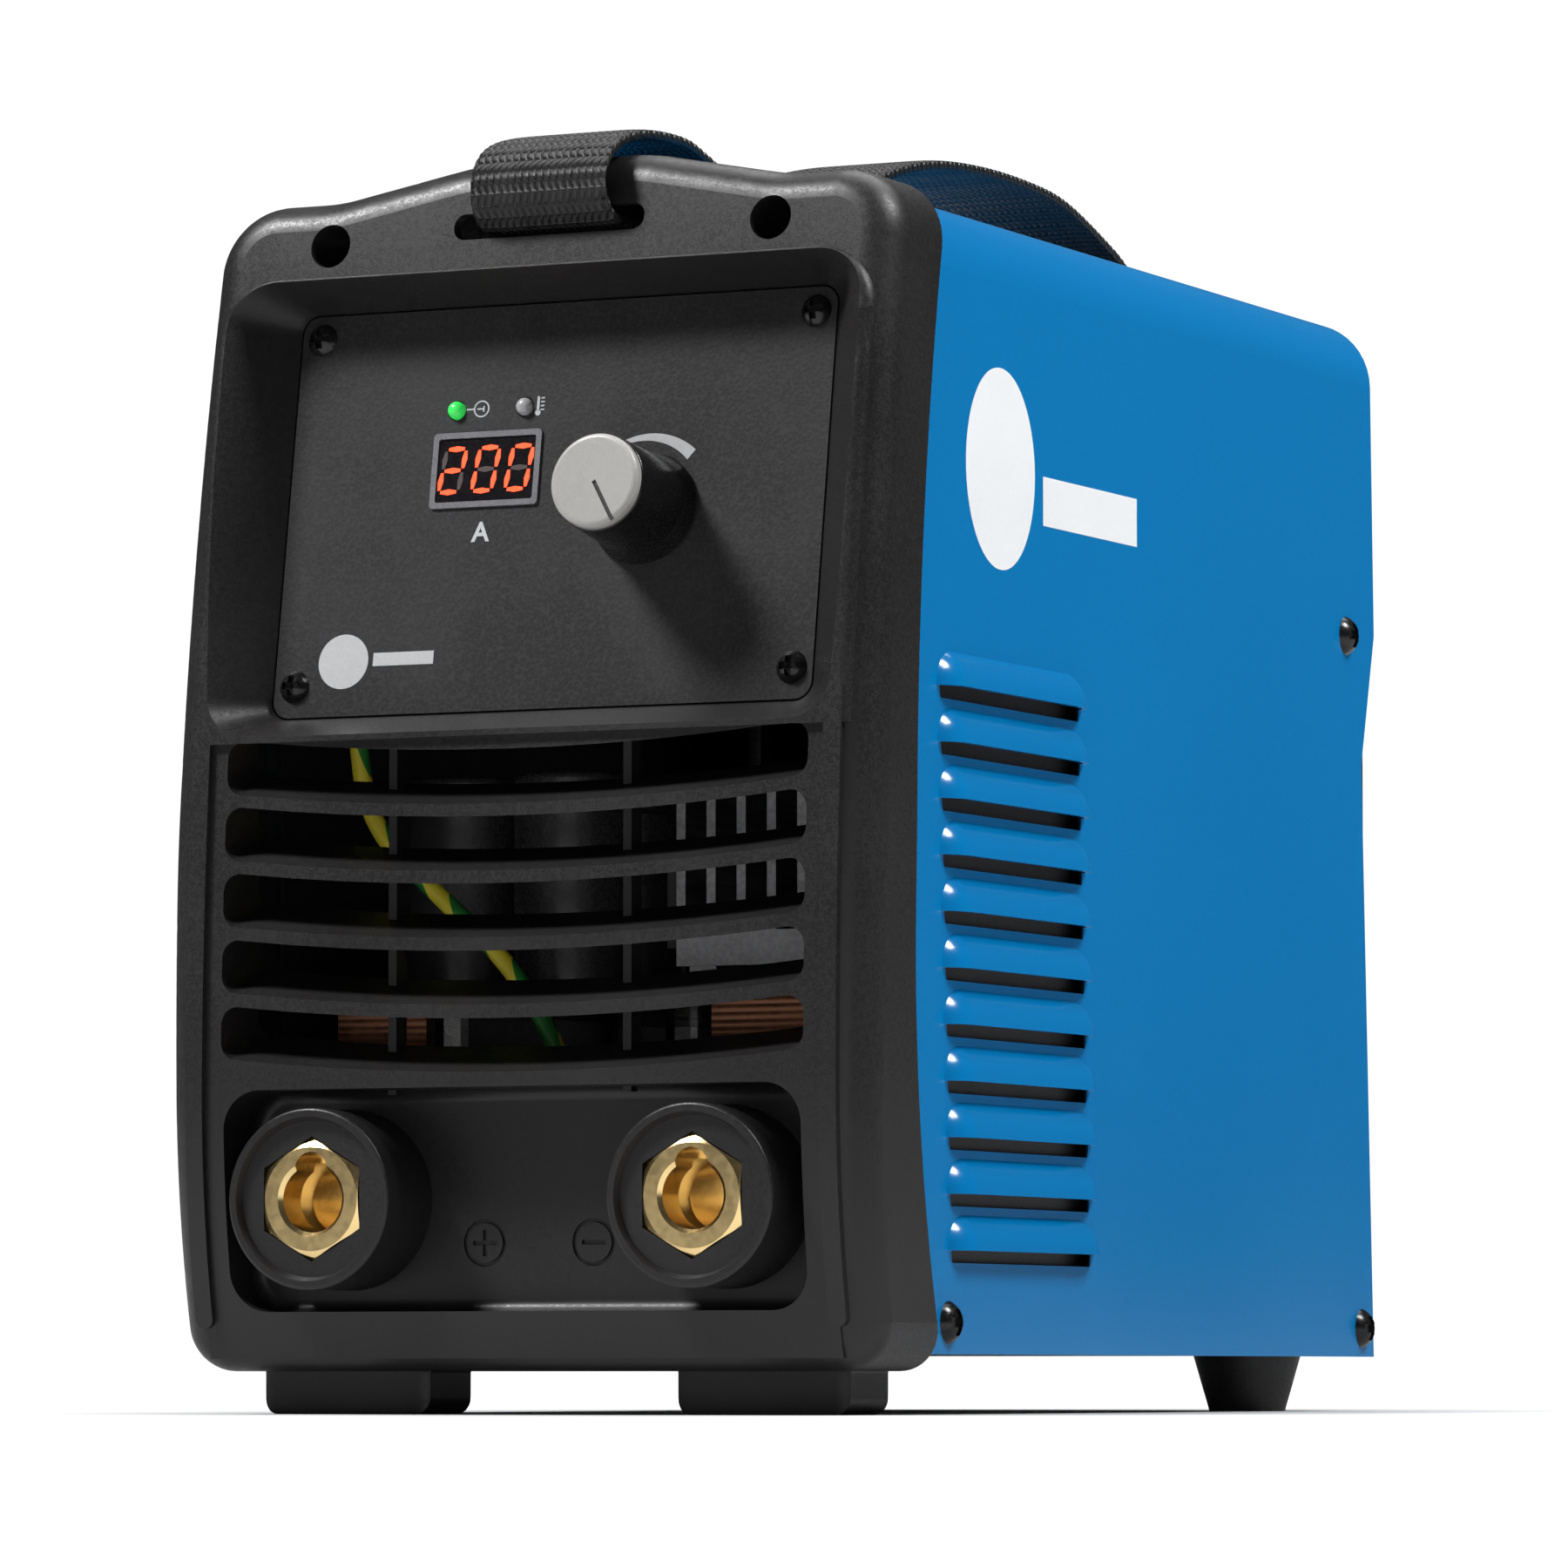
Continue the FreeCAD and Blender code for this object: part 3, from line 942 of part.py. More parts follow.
def nodes():
    """Every node by name, with the function that makes it."""
    return {
        "front_bezel": front_bezel, "control_panel": control_panel, "panel_screws": panel_screws,
        "display_frame": display_frame, "display_window": display_window, "display_module": display_module,
        "power_light": lambda: panel_light(LED_X[0]), "heat_light": lambda: panel_light(LED_X[1]),
        "control_board": control_board, "board_spacers": board_spacers, "potentiometer": potentiometer,
        "potentiometer_nut": potentiometer_nut, "knob_body": knob_body, "knob_cap": knob_cap,
        "potentiometer_shaft": potentiometer_shaft,
        "socket_collar_left": lambda: socket_collar(-SOCKET_X),
        "socket_collar_right": lambda: socket_collar(SOCKET_X),
        "socket_insert_left": lambda: socket_insert(-SOCKET_X),
        "socket_insert_right": lambda: socket_insert(SOCKET_X),
        "socket_nuts": socket_nuts, "busbar_left": lambda: busbar(-1), "busbar_right": lambda: busbar(1),
        "top_cover": top_cover, "cover_screws": cover_screws, "base_tray": base_tray, "rear_feet": rear_feet,
        "foot_screws": foot_screws, "foot_nuts": foot_nuts, "rear_panel": rear_panel,
        "rear_screws": rear_screws, "carry_strap": carry_strap, "strap_anchors": strap_anchors,
        "fan_frame": fan_frame, "fan_rotor": fan_rotor, "fan_guard": fan_guard, "fan_screws": fan_screws,
        "power_switch": power_switch, "switch_rocker": switch_rocker, "cable_gland": cable_gland,
        "gland_nut": gland_nut, "main_board": main_board, "board_pillars": board_pillars, "heatsink": heatsink,
        "power_transistors": power_transistors, "bus_capacitors": bus_capacitors, "rectifier": rectifier,
        "transformer_core": transformer_core, "transformer_winding": transformer_winding,
        "output_choke": output_choke, "insulation_sheets": insulation_sheets, "earth_wire": earth_wire, "earth_stud": earth_stud,
        "wire_clip": wire_clip,
    }


def export_all():
    """Makes every node and writes it to its own file."""
    os.makedirs("parts", exist_ok=True)
    for name, make in nodes().items():
        shape = make()
        if not shape.isValid() or not shape.Solids:
            raise ValueError(name + " isn't a valid solid")
        b = shape.BoundBox
        print(name, len(shape.Solids), "solids, X", round(b.XMin, 1), round(b.XMax, 1), "Y", round(b.YMin, 1),
              round(b.YMax, 1), "Z", round(b.ZMin, 1), round(b.ZMax, 1))
        shape.exportStep("parts/" + name + ".step")


export_all()
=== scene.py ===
"""Looks of a portable welding power source: webbing, lit display, prints, badges and finishes."""
import json
import math

import bmesh
import bpy
from mathutils import Matrix, Vector


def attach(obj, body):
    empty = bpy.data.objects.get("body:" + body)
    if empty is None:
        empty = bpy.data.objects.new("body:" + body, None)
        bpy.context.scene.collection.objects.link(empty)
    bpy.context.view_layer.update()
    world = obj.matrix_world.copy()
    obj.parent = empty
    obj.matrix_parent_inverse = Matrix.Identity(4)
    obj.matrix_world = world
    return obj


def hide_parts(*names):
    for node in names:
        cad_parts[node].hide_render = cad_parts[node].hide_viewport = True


bl_info = {
    "name": "Welding Power Source",
    "version": (1, 0, 0),
    "blender": (4, 5, 0),
    "location": "View3D > Sidebar > Welder",
    "description": "Adds the strap, display, prints, badges and finishes of a portable welding power source",
    "category": "Object",
}

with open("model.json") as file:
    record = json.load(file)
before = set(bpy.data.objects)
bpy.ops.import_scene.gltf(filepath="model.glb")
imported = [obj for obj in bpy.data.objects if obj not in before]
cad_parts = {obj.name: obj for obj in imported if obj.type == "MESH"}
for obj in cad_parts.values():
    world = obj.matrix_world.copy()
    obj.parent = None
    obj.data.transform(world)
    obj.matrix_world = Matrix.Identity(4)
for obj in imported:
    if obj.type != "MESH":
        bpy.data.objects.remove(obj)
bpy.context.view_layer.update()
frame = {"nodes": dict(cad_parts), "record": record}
NODES = frame["nodes"]
MM = 0.001

FULL_TURN = 6.2832
SOCKET_OUT, SOCKET_UP = 41.7 * MM, 42.3 * MM    # axes of the two output sockets
# These cover bounds also mark where the painted shade on the cover's inner faces begins.
COVER_SIDE, COVER_ROOF = 73.6 * MM, 240.8 * MM  # just inside the cover's outer faces
COVER_BEND_X, COVER_BEND_Z, COVER_BEND_R = 59.0 * MM, 226.3 * MM, 14.5 * MM
COVER_FACE = 74.0 * MM                          # outer face of the cover's sides
BADGE_UP = 188.5 * MM
BADGE_ALONG = {"right": -69.5 * MM, "left": -26.0 * MM}
DIAL_X, DIAL_Z = 20.5 * MM, -2.0 * MM           # the knob's axis on the panel's drawing
CAP_FRONT, POINTER_TURN = -22.46 * MM, math.radians(150)
PRINT_DEPTH = 0.05 * MM

# The control panel leans back: this turns its own flat drawing (X right, Z up, -Y outwards) into place.
PANEL_PLACE = Matrix.Translation((0.0, -0.1213, 0.180)) @ Matrix.Rotation(math.radians(-9.04), 4, "X")
FACING_FRONT = Matrix.Rotation(math.pi / 2, 4, "X")


class CaseSettings(bpy.types.PropertyGroup):
    """Colours of the cover, bezel and control panel."""
    paint: bpy.props.FloatVectorProperty(name="Cover paint", description="Powder coat of the steel cover",
                                         subtype="COLOR", default=(0.0001, 0.172, 0.440), min=0, max=1)
    plastic: bpy.props.FloatVectorProperty(name="Bezel plastic", description="Moulded plastic of the bezels",
                                           subtype="COLOR", default=(0.0125, 0.0115, 0.0118), min=0, max=1)
    panel: bpy.props.FloatVectorProperty(name="Panel", description="Matt coat of the control panel",
                                         subtype="COLOR", default=(0.022, 0.022, 0.0235), min=0, max=1)
    print_color: bpy.props.FloatVectorProperty(name="Print", description="Pale print on the panel and cover",
                                               subtype="COLOR", default=(0.80, 0.82, 0.84), min=0, max=1)


class DisplaySettings(bpy.types.PropertyGroup):
    """The number shown and the glow of its segments."""
    amps: bpy.props.IntProperty(name="Amps", description="Welding current on the display", default=200,
                                min=0, max=999)
    glow: bpy.props.FloatProperty(name="Glow", description="Strength of the lit segments", default=1.2,
                                  min=0, max=20)
    slant: bpy.props.FloatProperty(name="Slant", description="Lean of the digits", default=math.radians(8),
                                   subtype="ANGLE", unit="ROTATION")
    digit_height: bpy.props.FloatProperty(name="Digit height", description="Height of one digit",
                                          default=9.0 * MM, unit="LENGTH", min=0.001)


class StrapSettings(bpy.types.PropertyGroup):
    """The webbing of the carrying strap."""
    width: bpy.props.FloatProperty(name="Width", description="Width of the webbing", default=30.0 * MM,
                                   unit="LENGTH", min=0.005)
    thickness: bpy.props.FloatProperty(name="Thickness", description="Thickness of the webbing",
                                       default=2.0 * MM, unit="LENGTH", min=0.0005)
    rib: bpy.props.FloatProperty(name="Rib pitch", description="Distance between two weft ribs",
                                 default=2.3 * MM, unit="LENGTH", min=0.0005)
    relief: bpy.props.FloatProperty(name="Relief", description="Height of the weave's ribs",
                                    default=0.30 * MM, unit="LENGTH", min=0)


class StageSettings(bpy.types.PropertyGroup):
    """Floor, lights and camera."""
    floor_size: bpy.props.FloatProperty(name="Floor size", description="Side of the square floor", default=60.0,
                                        unit="LENGTH", min=1)
    heading: bpy.props.FloatProperty(name="Camera heading", description="Turn of the camera about the vertical",
                                     default=math.radians(25.587), subtype="ANGLE", unit="ROTATION")
    pitch: bpy.props.FloatProperty(name="Camera pitch", description="Upward tilt of the camera",
                                   default=math.radians(4.066), subtype="ANGLE", unit="ROTATION")
    lens: bpy.props.FloatProperty(name="Lens", description="Focal length of the camera in millimetres",
                                  default=191.57, unit="CAMERA", min=10)


# ---- node trees -----------------------------------------------------------------------------
def add(tree, kind, settings=None, **sockets):
    """New shader node; settings are its properties, sockets its inputs (values or links)."""
    made = tree.nodes.new("ShaderNode" + kind)
    for key, value in (settings or {}).items():
        setattr(made, key, value)
    for key, value in sockets.items():
        numbered = key[0] == "i" and key[1:].isdigit()
        target = made.inputs[int(key[1:]) if numbered else key.replace("_", " ")]
        if isinstance(value, bpy.types.NodeSocket):
            tree.links.new(value, target)
        else:
            target.default_value = value
    return made


def calc(tree, operation, *values):
    """Math node; returns its output."""
    return add(tree, "Math", {"operation": operation}, **{f"i{k}": v for k, v in enumerate(values)}).outputs[0]


def length_of(tree, first, second):
    """Length of a flat vector from its two parts."""
    return calc(tree, "SQRT", calc(tree, "ADD", calc(tree, "MULTIPLY", first, first),
                                   calc(tree, "MULTIPLY", second, second)))


def spread(tree, value, low, high, to_low, to_high):
    """Map Range node that eases between two results; returns its output."""
    made = add(tree, "MapRange", {"interpolation_type": "SMOOTHSTEP"}, Value=value, From_Min=low, From_Max=high,
               To_Min=to_low, To_Max=to_high)
    return made.outputs["Result"]


def blend_colors(tree, factor, first, second):
    """Colour mix; returns its colour output."""
    made = add(tree, "Mix", {"data_type": "RGBA"})
    for index, value in ((0, factor), (6, first), (7, second)):
        if isinstance(value, bpy.types.NodeSocket):
            tree.links.new(value, made.inputs[index])
        else:
            made.inputs[index].default_value = value
    return made.outputs[2]


def noise(tree, position, scale, detail=3.0, roughness=0.55):
    """Noise texture; returns its value output."""
    return add(tree, "TexNoise", None, Vector=position, Scale=scale, Detail=detail,
               Roughness=roughness).outputs["Fac"]


def effect(name, inputs, outputs, build):
    """Shader node group with named inputs (name, default) and outputs, filled by build(tree, ins, outs)."""
    if name in bpy.data.node_groups:
        return bpy.data.node_groups[name]
    tree = bpy.data.node_groups.new(name, "ShaderNodeTree")
    for label, default in inputs:
        kind = "NodeSocketVector" if default is None else "NodeSocketFloat"
        socket = tree.interface.new_socket(label, in_out="INPUT", socket_type=kind)
        if default is not None:
            socket.default_value = default
    for label in outputs:
        tree.interface.new_socket(label, in_out="OUTPUT", socket_type="NodeSocketFloat")
    ins = tree.nodes.new("NodeGroupInput").outputs
    outs = tree.nodes.new("NodeGroupOutput").inputs
    build(tree, ins, outs)
    return tree


# The fine mask is a random speckle for most grains; in the basket weave it paints yarn highlights and shade.
GRAIN_OUTPUTS = ["Height", "Speckle_and_yarn_shade", "Mottle"]


def grain(name, scale, build):
    """Effect group of a surface grain, whose pattern size is set by its Scale."""
    return effect(name, [("Position", None), ("Scale", scale)], GRAIN_OUTPUTS, build)


def put_out(tree, outs, height, speckle, mottle):
    """Links a grain's height and its fine and broad masks to the group's outputs."""
    for value, label in zip((height, speckle, mottle), GRAIN_OUTPUTS):
        tree.links.new(value, outs[label])


def mask(tree, value, low, high):
    """Mask that eases from 0 to 1 between two levels."""
    return spread(tree, value, low, high, 0.0, 1.0)


def moulded_grain():
    """Spark-eroded grain of a plastic mould, with faint broad mottling."""
    def build(tree, ins, outs):
        fine = noise(tree, ins["Position"], ins["Scale"], 2.0, 0.6)
        coarse = noise(tree, ins["Position"], calc(tree, "MULTIPLY", ins["Scale"], 0.37), 2.0)
        broad = noise(tree, ins["Position"], 22.0, 2.0)
        height = calc(tree, "ADD", calc(tree, "MULTIPLY", fine, 0.65), calc(tree, "MULTIPLY", coarse, 0.35))
        put_out(tree, outs, height, mask(tree, height, 0.38, 0.62), mask(tree, broad, 0.3, 0.7))
    return grain("Moulded grain", 2600.0, build)


def leather_grain():
    """Pebbled leather-like grain of a coated panel."""
    def build(tree, ins, outs):
        bent = noise(tree, ins["Position"], calc(tree, "MULTIPLY", ins["Scale"], 0.5), 2.0)
        cells = add(tree, "TexVoronoi", {"feature": "SMOOTH_F1"}, Vector=ins["Position"],
                    Scale=ins["Scale"]).outputs["Distance"]
        height = calc(tree, "SUBTRACT", calc(tree, "MULTIPLY", bent, 0.6), calc(tree, "MULTIPLY", cells, 0.55))
        mottle = mask(tree, noise(tree, ins["Position"], 30.0), 0.35, 0.65)
        put_out(tree, outs, height, mask(tree, cells, 0.25, 0.75), mottle)
    return grain("Leather grain", 1300.0, build)


def orange_peel():
    """Slow waves of a powder coat with a fine tooth on top."""
    def build(tree, ins, outs):
        waves = noise(tree, ins["Position"], ins["Scale"], 1.0, 0.4)
        tooth = noise(tree, ins["Position"], calc(tree, "MULTIPLY", ins["Scale"], 6.0), 2.0)
        height = calc(tree, "ADD", waves, calc(tree, "MULTIPLY", tooth, 0.12))
        mottle = mask(tree, noise(tree, ins["Position"], 9.0), 0.35, 0.65)
        put_out(tree, outs, height, mask(tree, tooth, 0.4, 0.6), mottle)
    return grain("Orange peel", 420.0, build)


def tool_marks():
    """Turned or drawn streaks along one axis, with a few deeper scratches."""
    def build(tree, ins, outs):
        drawn = add(tree, "Mapping", None, Vector=ins["Position"], Scale=(1.0, 0.04, 1.0)).outputs[0]
        streak = noise(tree, drawn, ins["Scale"], 4.0, 0.6)
        deep = mask(tree, noise(tree, drawn, calc(tree, "MULTIPLY", ins["Scale"], 0.31), 2.0), 0.58, 0.66)
        height = calc(tree, "SUBTRACT", streak, calc(tree, "MULTIPLY", deep, 0.3))
        mottle = mask(tree, noise(tree, ins["Position"], 60.0), 0.35, 0.65)
        put_out(tree, outs, height, mask(tree, streak, 0.35, 0.65), mottle)
    return grain("Tool marks", 900.0, build)


def turned_rings():
    """Fine concentric rings of a lathe cut round the two socket axes."""
    def build(tree, ins, outs):
        split = add(tree, "SeparateXYZ", None, i0=ins["Position"]).outputs
        aside = calc(tree, "SUBTRACT", calc(tree, "ABSOLUTE", split[0]), SOCKET_OUT)
        above = calc(tree, "SUBTRACT", split[2], SOCKET_UP)
        radius = length_of(tree, aside, above)
        wobble = calc(tree, "MULTIPLY", noise(tree, ins["Position"], 300.0), 0.0006)
        pace = calc(tree, "MULTIPLY", ins["Scale"], FULL_TURN)
        turns = calc(tree, "MULTIPLY", calc(tree, "ADD", radius, wobble), pace)
        rings = calc(tree, "SINE", calc(tree, "ADD", turns, calc(tree, "MULTIPLY", split[1], 5200.0)))
        speckle = mask(tree, noise(tree, ins["Position"], 700.0), 0.35, 0.65)
        mottle = mask(tree, noise(tree, ins["Position"], 120.0), 0.35, 0.65)
        put_out(tree, outs, rings, speckle, mottle)
    return grain("Turned rings", 3300.0, build)


def wound_wire():
    """Close turns of enamelled wire lying across one axis."""
    def build(tree, ins, outs):
        split = add(tree, "SeparateXYZ", None, i0=ins["Position"]).outputs
        phase = calc(tree, "MULTIPLY", split[2], calc(tree, "MULTIPLY", ins["Scale"], FULL_TURN))
        speckle = mask(tree, noise(tree, ins["Position"], 400.0), 0.35, 0.65)
        mottle = mask(tree, noise(tree, ins["Position"], 80.0), 0.35, 0.65)
        put_out(tree, outs, calc(tree, "ABSOLUTE", calc(tree, "SINE", phase)), speckle, mottle)
    return grain("Wound wire", 330.0, build)


def basket_weave():
    """Slanted yarns of a heavy webbing in rows that lean to either side in turn, with fine filaments; its fine mask
    paints highlights on the yarn tops and shade in the gaps.
    """
    def build(tree, ins, outs):
        split = add(tree, "SeparateXYZ", None, i0=ins["Position"]).outputs
        along = calc(tree, "MULTIPLY", split[1], ins["Ribs"])
        across = calc(tree, "MULTIPLY", split[0], ins["Warps"])
        step = calc(tree, "FRACT", along)
        odd = calc(tree, "FLOORED_MODULO", calc(tree, "FLOOR", along), 2.0)
        side = calc(tree, "SUBTRACT", calc(tree, "MULTIPLY", odd, 2.0), 1.0)
        lean = calc(tree, "MULTIPLY", calc(tree, "MULTIPLY", side, step), 0.45)
        place = calc(tree, "ADD", calc(tree, "ADD", across, lean), calc(tree, "MULTIPLY", odd, 0.5))
        weft = calc(tree, "SINE", calc(tree, "MULTIPLY", step, math.pi))
        warp = calc(tree, "ABSOLUTE", calc(tree, "SINE", calc(tree, "MULTIPLY", place, math.pi)))
        yarn = calc(tree, "MULTIPLY", calc(tree, "POWER", weft, 0.7), warp)
        strands = calc(tree, "SINE", calc(tree, "MULTIPLY", place, 8 * math.pi))
        fuzz = calc(tree, "MULTIPLY", noise(tree, ins["Position"], 900.0, 2.0), 0.12)
        height = calc(tree, "ADD", calc(tree, "ADD", yarn, calc(tree, "MULTIPLY", strands, 0.06)), fuzz)
        mottle = mask(tree, noise(tree, ins["Position"], 6.0), 0.35, 0.65)
        # Painted highlight and shade: the yarn mask makes the colour light on the yarn tops and dark in the gaps
        # between them.
        put_out(tree, outs, height, mask(tree, yarn, 0.35, 0.95), mottle)
    return effect("Basket weave", [("Position", None), ("Ribs", 435.0), ("Warps", 19.0)], GRAIN_OUTPUTS, build)


# ---- materials ------------------------------------------------------------------------------
def finish(name, pattern, color, rough, scale=None, depth=0.05, strength=0.4, tone=0.25, rough_swing=0.08,
           metallic=0.0, coords="Object", **plain):
    """Principled material whose colour, roughness and bump follow one grain effect."""
    if name in bpy.data.materials:
        return bpy.data.materials[name]
    made = bpy.data.materials.new(name)
    made.use_nodes = True
    tree = made.node_tree
    shader = tree.nodes["Principled BSDF"]
    place = add(tree, "TexCoord").outputs[coords]
    group = tree.nodes.new("ShaderNodeGroup")
    group.node_tree = pattern
    tree.links.new(place, group.inputs["Position"])
    if scale:
        group.inputs["Scale"].default_value = scale
    dark = [c * (1 - tone) for c in color] + [1.0]
    light = [min(1.0, c * (1 + tone)) for c in color] + [1.0]
    patch = calc(tree, "ADD", calc(tree, "MULTIPLY", group.outputs["Speckle_and_yarn_shade"], 0.6),
                 calc(tree, "MULTIPLY", group.outputs["Mottle"], 0.4))
    tree.links.new(blend_colors(tree, patch, dark, light), shader.inputs["Base Color"])
    tree.links.new(spread(tree, patch, 0.0, 1.0, rough - rough_swing, rough + rough_swing),
                   shader.inputs["Roughness"])
    bump = add(tree, "Bump", None, Strength=strength, Distance=depth * MM, Height=group.outputs["Height"])
    tree.links.new(bump.outputs[0], shader.inputs["Normal"])
    shader.inputs["Metallic"].default_value = metallic
    for key, value in plain.items():
        shader.inputs[key.replace("_", " ")].default_value = value
    return made


def banded_insulation(name):
    """Green insulation with a yellow stripe that winds round the wire."""
    green, yellow = (0.03, 0.24, 0.04), (0.85, 0.72, 0.05)
    made = finish(name, moulded_grain(), green, 0.4, depth=0.02)
    tree = made.node_tree
    shader = tree.nodes["Principled BSDF"]
    split = add(tree, "SeparateXYZ", None, i0=add(tree, "TexCoord").outputs["Object"]).outputs
    turn = calc(tree, "SINE", calc(tree, "ADD", calc(tree, "MULTIPLY", split[2], 260.0),
                                   calc(tree, "MULTIPLY", split[0], 700.0)))
    stripe = mask(tree, turn, -0.05, 0.05)
    tree.links.new(blend_colors(tree, stripe, (*green, 1), (*yellow, 1)), shader.inputs["Base Color"])
    return made


def cover_paint_with_painted_inner_shade(name, paint):
    """Powder coat outside; a painted shade of near-black on the inner faces of the cover stands in for the dark
    inside of the case.
    """
    made = finish(name, orange_peel(), paint, 0.19, depth=0.03, strength=0.08, tone=0.03, rough_swing=0.03,
                  Specular_IOR_Level=0.45)
    tree = made.node_tree
    shader = tree.nodes["Principled BSDF"]
    coat = shader.inputs["Base Color"].links[0].from_socket
    split = add(tree, "SeparateXYZ", None, i0=add(tree, "TexCoord").outputs["Object"]).outputs
    aside = calc(tree, "ABSOLUTE", split[0])
    side = calc(tree, "GREATER_THAN", aside, COVER_SIDE)
    roof = calc(tree, "GREATER_THAN", split[2], COVER_ROOF)
    corner_x = calc(tree, "MAXIMUM", calc(tree, "SUBTRACT", aside, COVER_BEND_X), 0.0)
    corner_z = calc(tree, "MAXIMUM", calc(tree, "SUBTRACT", split[2], COVER_BEND_Z), 0.0)
    bend = calc(tree, "GREATER_THAN", length_of(tree, corner_x, corner_z), COVER_BEND_R)
    outside = calc(tree, "MAXIMUM", calc(tree, "MAXIMUM", side, roof), bend)
    # Painted shade: faces inside the cover's outer skin get a near-black colour instead of the blue paint.
    tree.links.new(blend_colors(tree, outside, (0.02, 0.022, 0.025, 1), coat), shader.inputs["Base Color"])
    return made


def glowing(name, color, strength):
    """Lit plastic: a glossy body that gives off its own light."""
    made = finish(name, moulded_grain(), color, 0.3, depth=0.005, tone=0.1)
    shader = made.node_tree.nodes["Principled BSDF"]
    shader.inputs["Emission Color"].default_value = (*color, 1.0)
    shader.inputs["Emission Strength"].default_value = strength
    return made


def finishes():
    """Every finish by the material slot that it belongs to."""
    case = bpy.context.scene.welder_case
    moulded, marks = moulded_grain(), tool_marks()
    return {
        "black_plastic": finish("Bezel plastic", moulded, tuple(case.plastic), 0.42, depth=0.05, strength=0.35,
                                tone=0.22, Specular_IOR_Level=0.34),
        "panel_black": finish("Panel coat", leather_grain(), tuple(case.panel), 0.52, scale=1500.0, depth=0.09,
                              strength=0.5, tone=0.26, Specular_IOR_Level=0.18),
        "black_steel": finish("Black screws", moulded, (0.009, 0.009, 0.0095), 0.24, depth=0.01, metallic=0.3),
        "display_grey": finish("Display border", moulded, (0.10, 0.10, 0.11), 0.45, depth=0.03),
        "display_lens": finish("Display window", moulded, (0.006, 0.005, 0.006), 0.12, depth=0.004, Coat_Weight=0.3),
        "board_plastic": finish("Black moulding", moulded, (0.014, 0.014, 0.015), 0.45, depth=0.05),
        "green_light": glowing("Green light", (0.03, 0.55, 0.08), 0.55),
        "clear_light": finish("Dim light", moulded, (0.30, 0.30, 0.31), 0.25, depth=0.01, Coat_Weight=0.4),
        "circuit_board": finish("Solder mask", marks, (0.012, 0.07, 0.035), 0.35, depth=0.02, Coat_Weight=0.2),
        "bright_steel": finish("Zinc plate", marks, (0.56, 0.56, 0.55), 0.34, depth=0.02, metallic=1.0),
        "knob_black": finish("Knob barrel", moulded, (0.005, 0.005, 0.0052), 0.22, depth=0.002, tone=0.15),
        "knob_grey": finish("Knob cap", moulded, (0.31, 0.302, 0.288), 0.42, depth=0.01, tone=0.04),
        "brass": finish("Machined brass", turned_rings(), (0.84, 0.63, 0.30), 0.22, depth=0.0006, strength=0.2,
                        tone=0.03, rough_swing=0.03, metallic=1.0),
        "copper": finish("Varnished copper", wound_wire(), (0.16, 0.065, 0.032), 0.40, depth=0.3, metallic=0.7),
        "blue_paint": cover_paint_with_painted_inner_shade("Cover paint", tuple(case.paint)),
        "tray_steel": finish("Galvanised sheet", marks, (0.42, 0.43, 0.44), 0.42, depth=0.02, metallic=1.0),
        "black_rubber": finish("Foot rubber", moulded, (0.006, 0.006, 0.006), 0.6, depth=0.08, strength=0.5),
        # Its strong tone paints highlights on the yarn tops and shade in the gaps between the yarns.
        "webbing": finish("Webbing", basket_weave(), (0.0095, 0.0095, 0.0095), 0.47, depth=0.65, strength=1.0,
                          tone=0.93, coords="UV"),
        "aluminium": finish("Extruded aluminium", marks, (0.30, 0.30, 0.31), 0.42, depth=0.03, metallic=0.9),
        "capacitor_sleeve": finish("Capacitor sleeve", moulded, (0.035, 0.035, 0.038), 0.32, depth=0.01),
        "ferrite": finish("Ferrite", moulded, (0.022, 0.022, 0.024), 0.6, depth=0.06),
        "earth_insulation": banded_insulation("Earth insulation"),
    }


# ---- mesh helpers ---------------------------------------------------------------------------
def piece(name, mesh_builder, slot, material=None, place=None, body="case", smooth=True):
    """Object from a bmesh builder, set in place, ridden on a body and given its finish."""
    work = bmesh.new()
    mesh_builder(work)
    if place is not None:
        bmesh.ops.transform(work, matrix=place, verts=work.verts)
    bmesh.ops.remove_doubles(work, verts=work.verts, dist=1e-7)
    bmesh.ops.recalc_face_normals(work, faces=work.faces)
    data = bpy.data.meshes.new(name)
    work.to_mesh(data)
    work.free()
    for face in data.polygons:
        face.use_smooth = smooth
    made = bpy.data.objects.new(name, data)
    bpy.context.collection.objects.link(made)
    data.materials.append(material or finishes()[slot])
    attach(made, body)
    return made


def faces_of(made):
    """Faces that use the vertices an operator has made."""
    return list({face for vert in made["verts"] for face in vert.link_faces})


def thin(work, faces, thickness=PRINT_DEPTH):
    """Gives flat faces lying in the panel's drawing a small thickness outwards (-Y)."""
    grown = bmesh.ops.extrude_face_region(work, geom=faces)
    moved = [v for v in grown["geom"] if isinstance(v, bmesh.types.BMVert)]
    bmesh.ops.translate(work, vec=(0, -thickness, 0), verts=moved)


def disc(work, x, z, radius, segments=48, squash=1.0):
    """Flat disc facing -Y at (x, z)."""
    made = bmesh.ops.create_circle(work, cap_ends=True, radius=radius, segments=segments,
                                   matrix=Matrix.Translation((x, 0, z)) @ FACING_FRONT
                                   @ Matrix.Diagonal((squash, 1, 1, 1)))
    thin(work, faces_of(made))


def bar(work, x, z, width, height, thickness=PRINT_DEPTH):
    """Flat bar facing -Y, centred at (x, z)."""
    made = bmesh.ops.create_grid(work, x_segments=1, y_segments=1, size=0.5,
                                 matrix=Matrix.Translation((x, 0, z)) @ FACING_FRONT
                                 @ Matrix.Diagonal((width, height, 1, 1)))
    thin(work, faces_of(made), thickness)


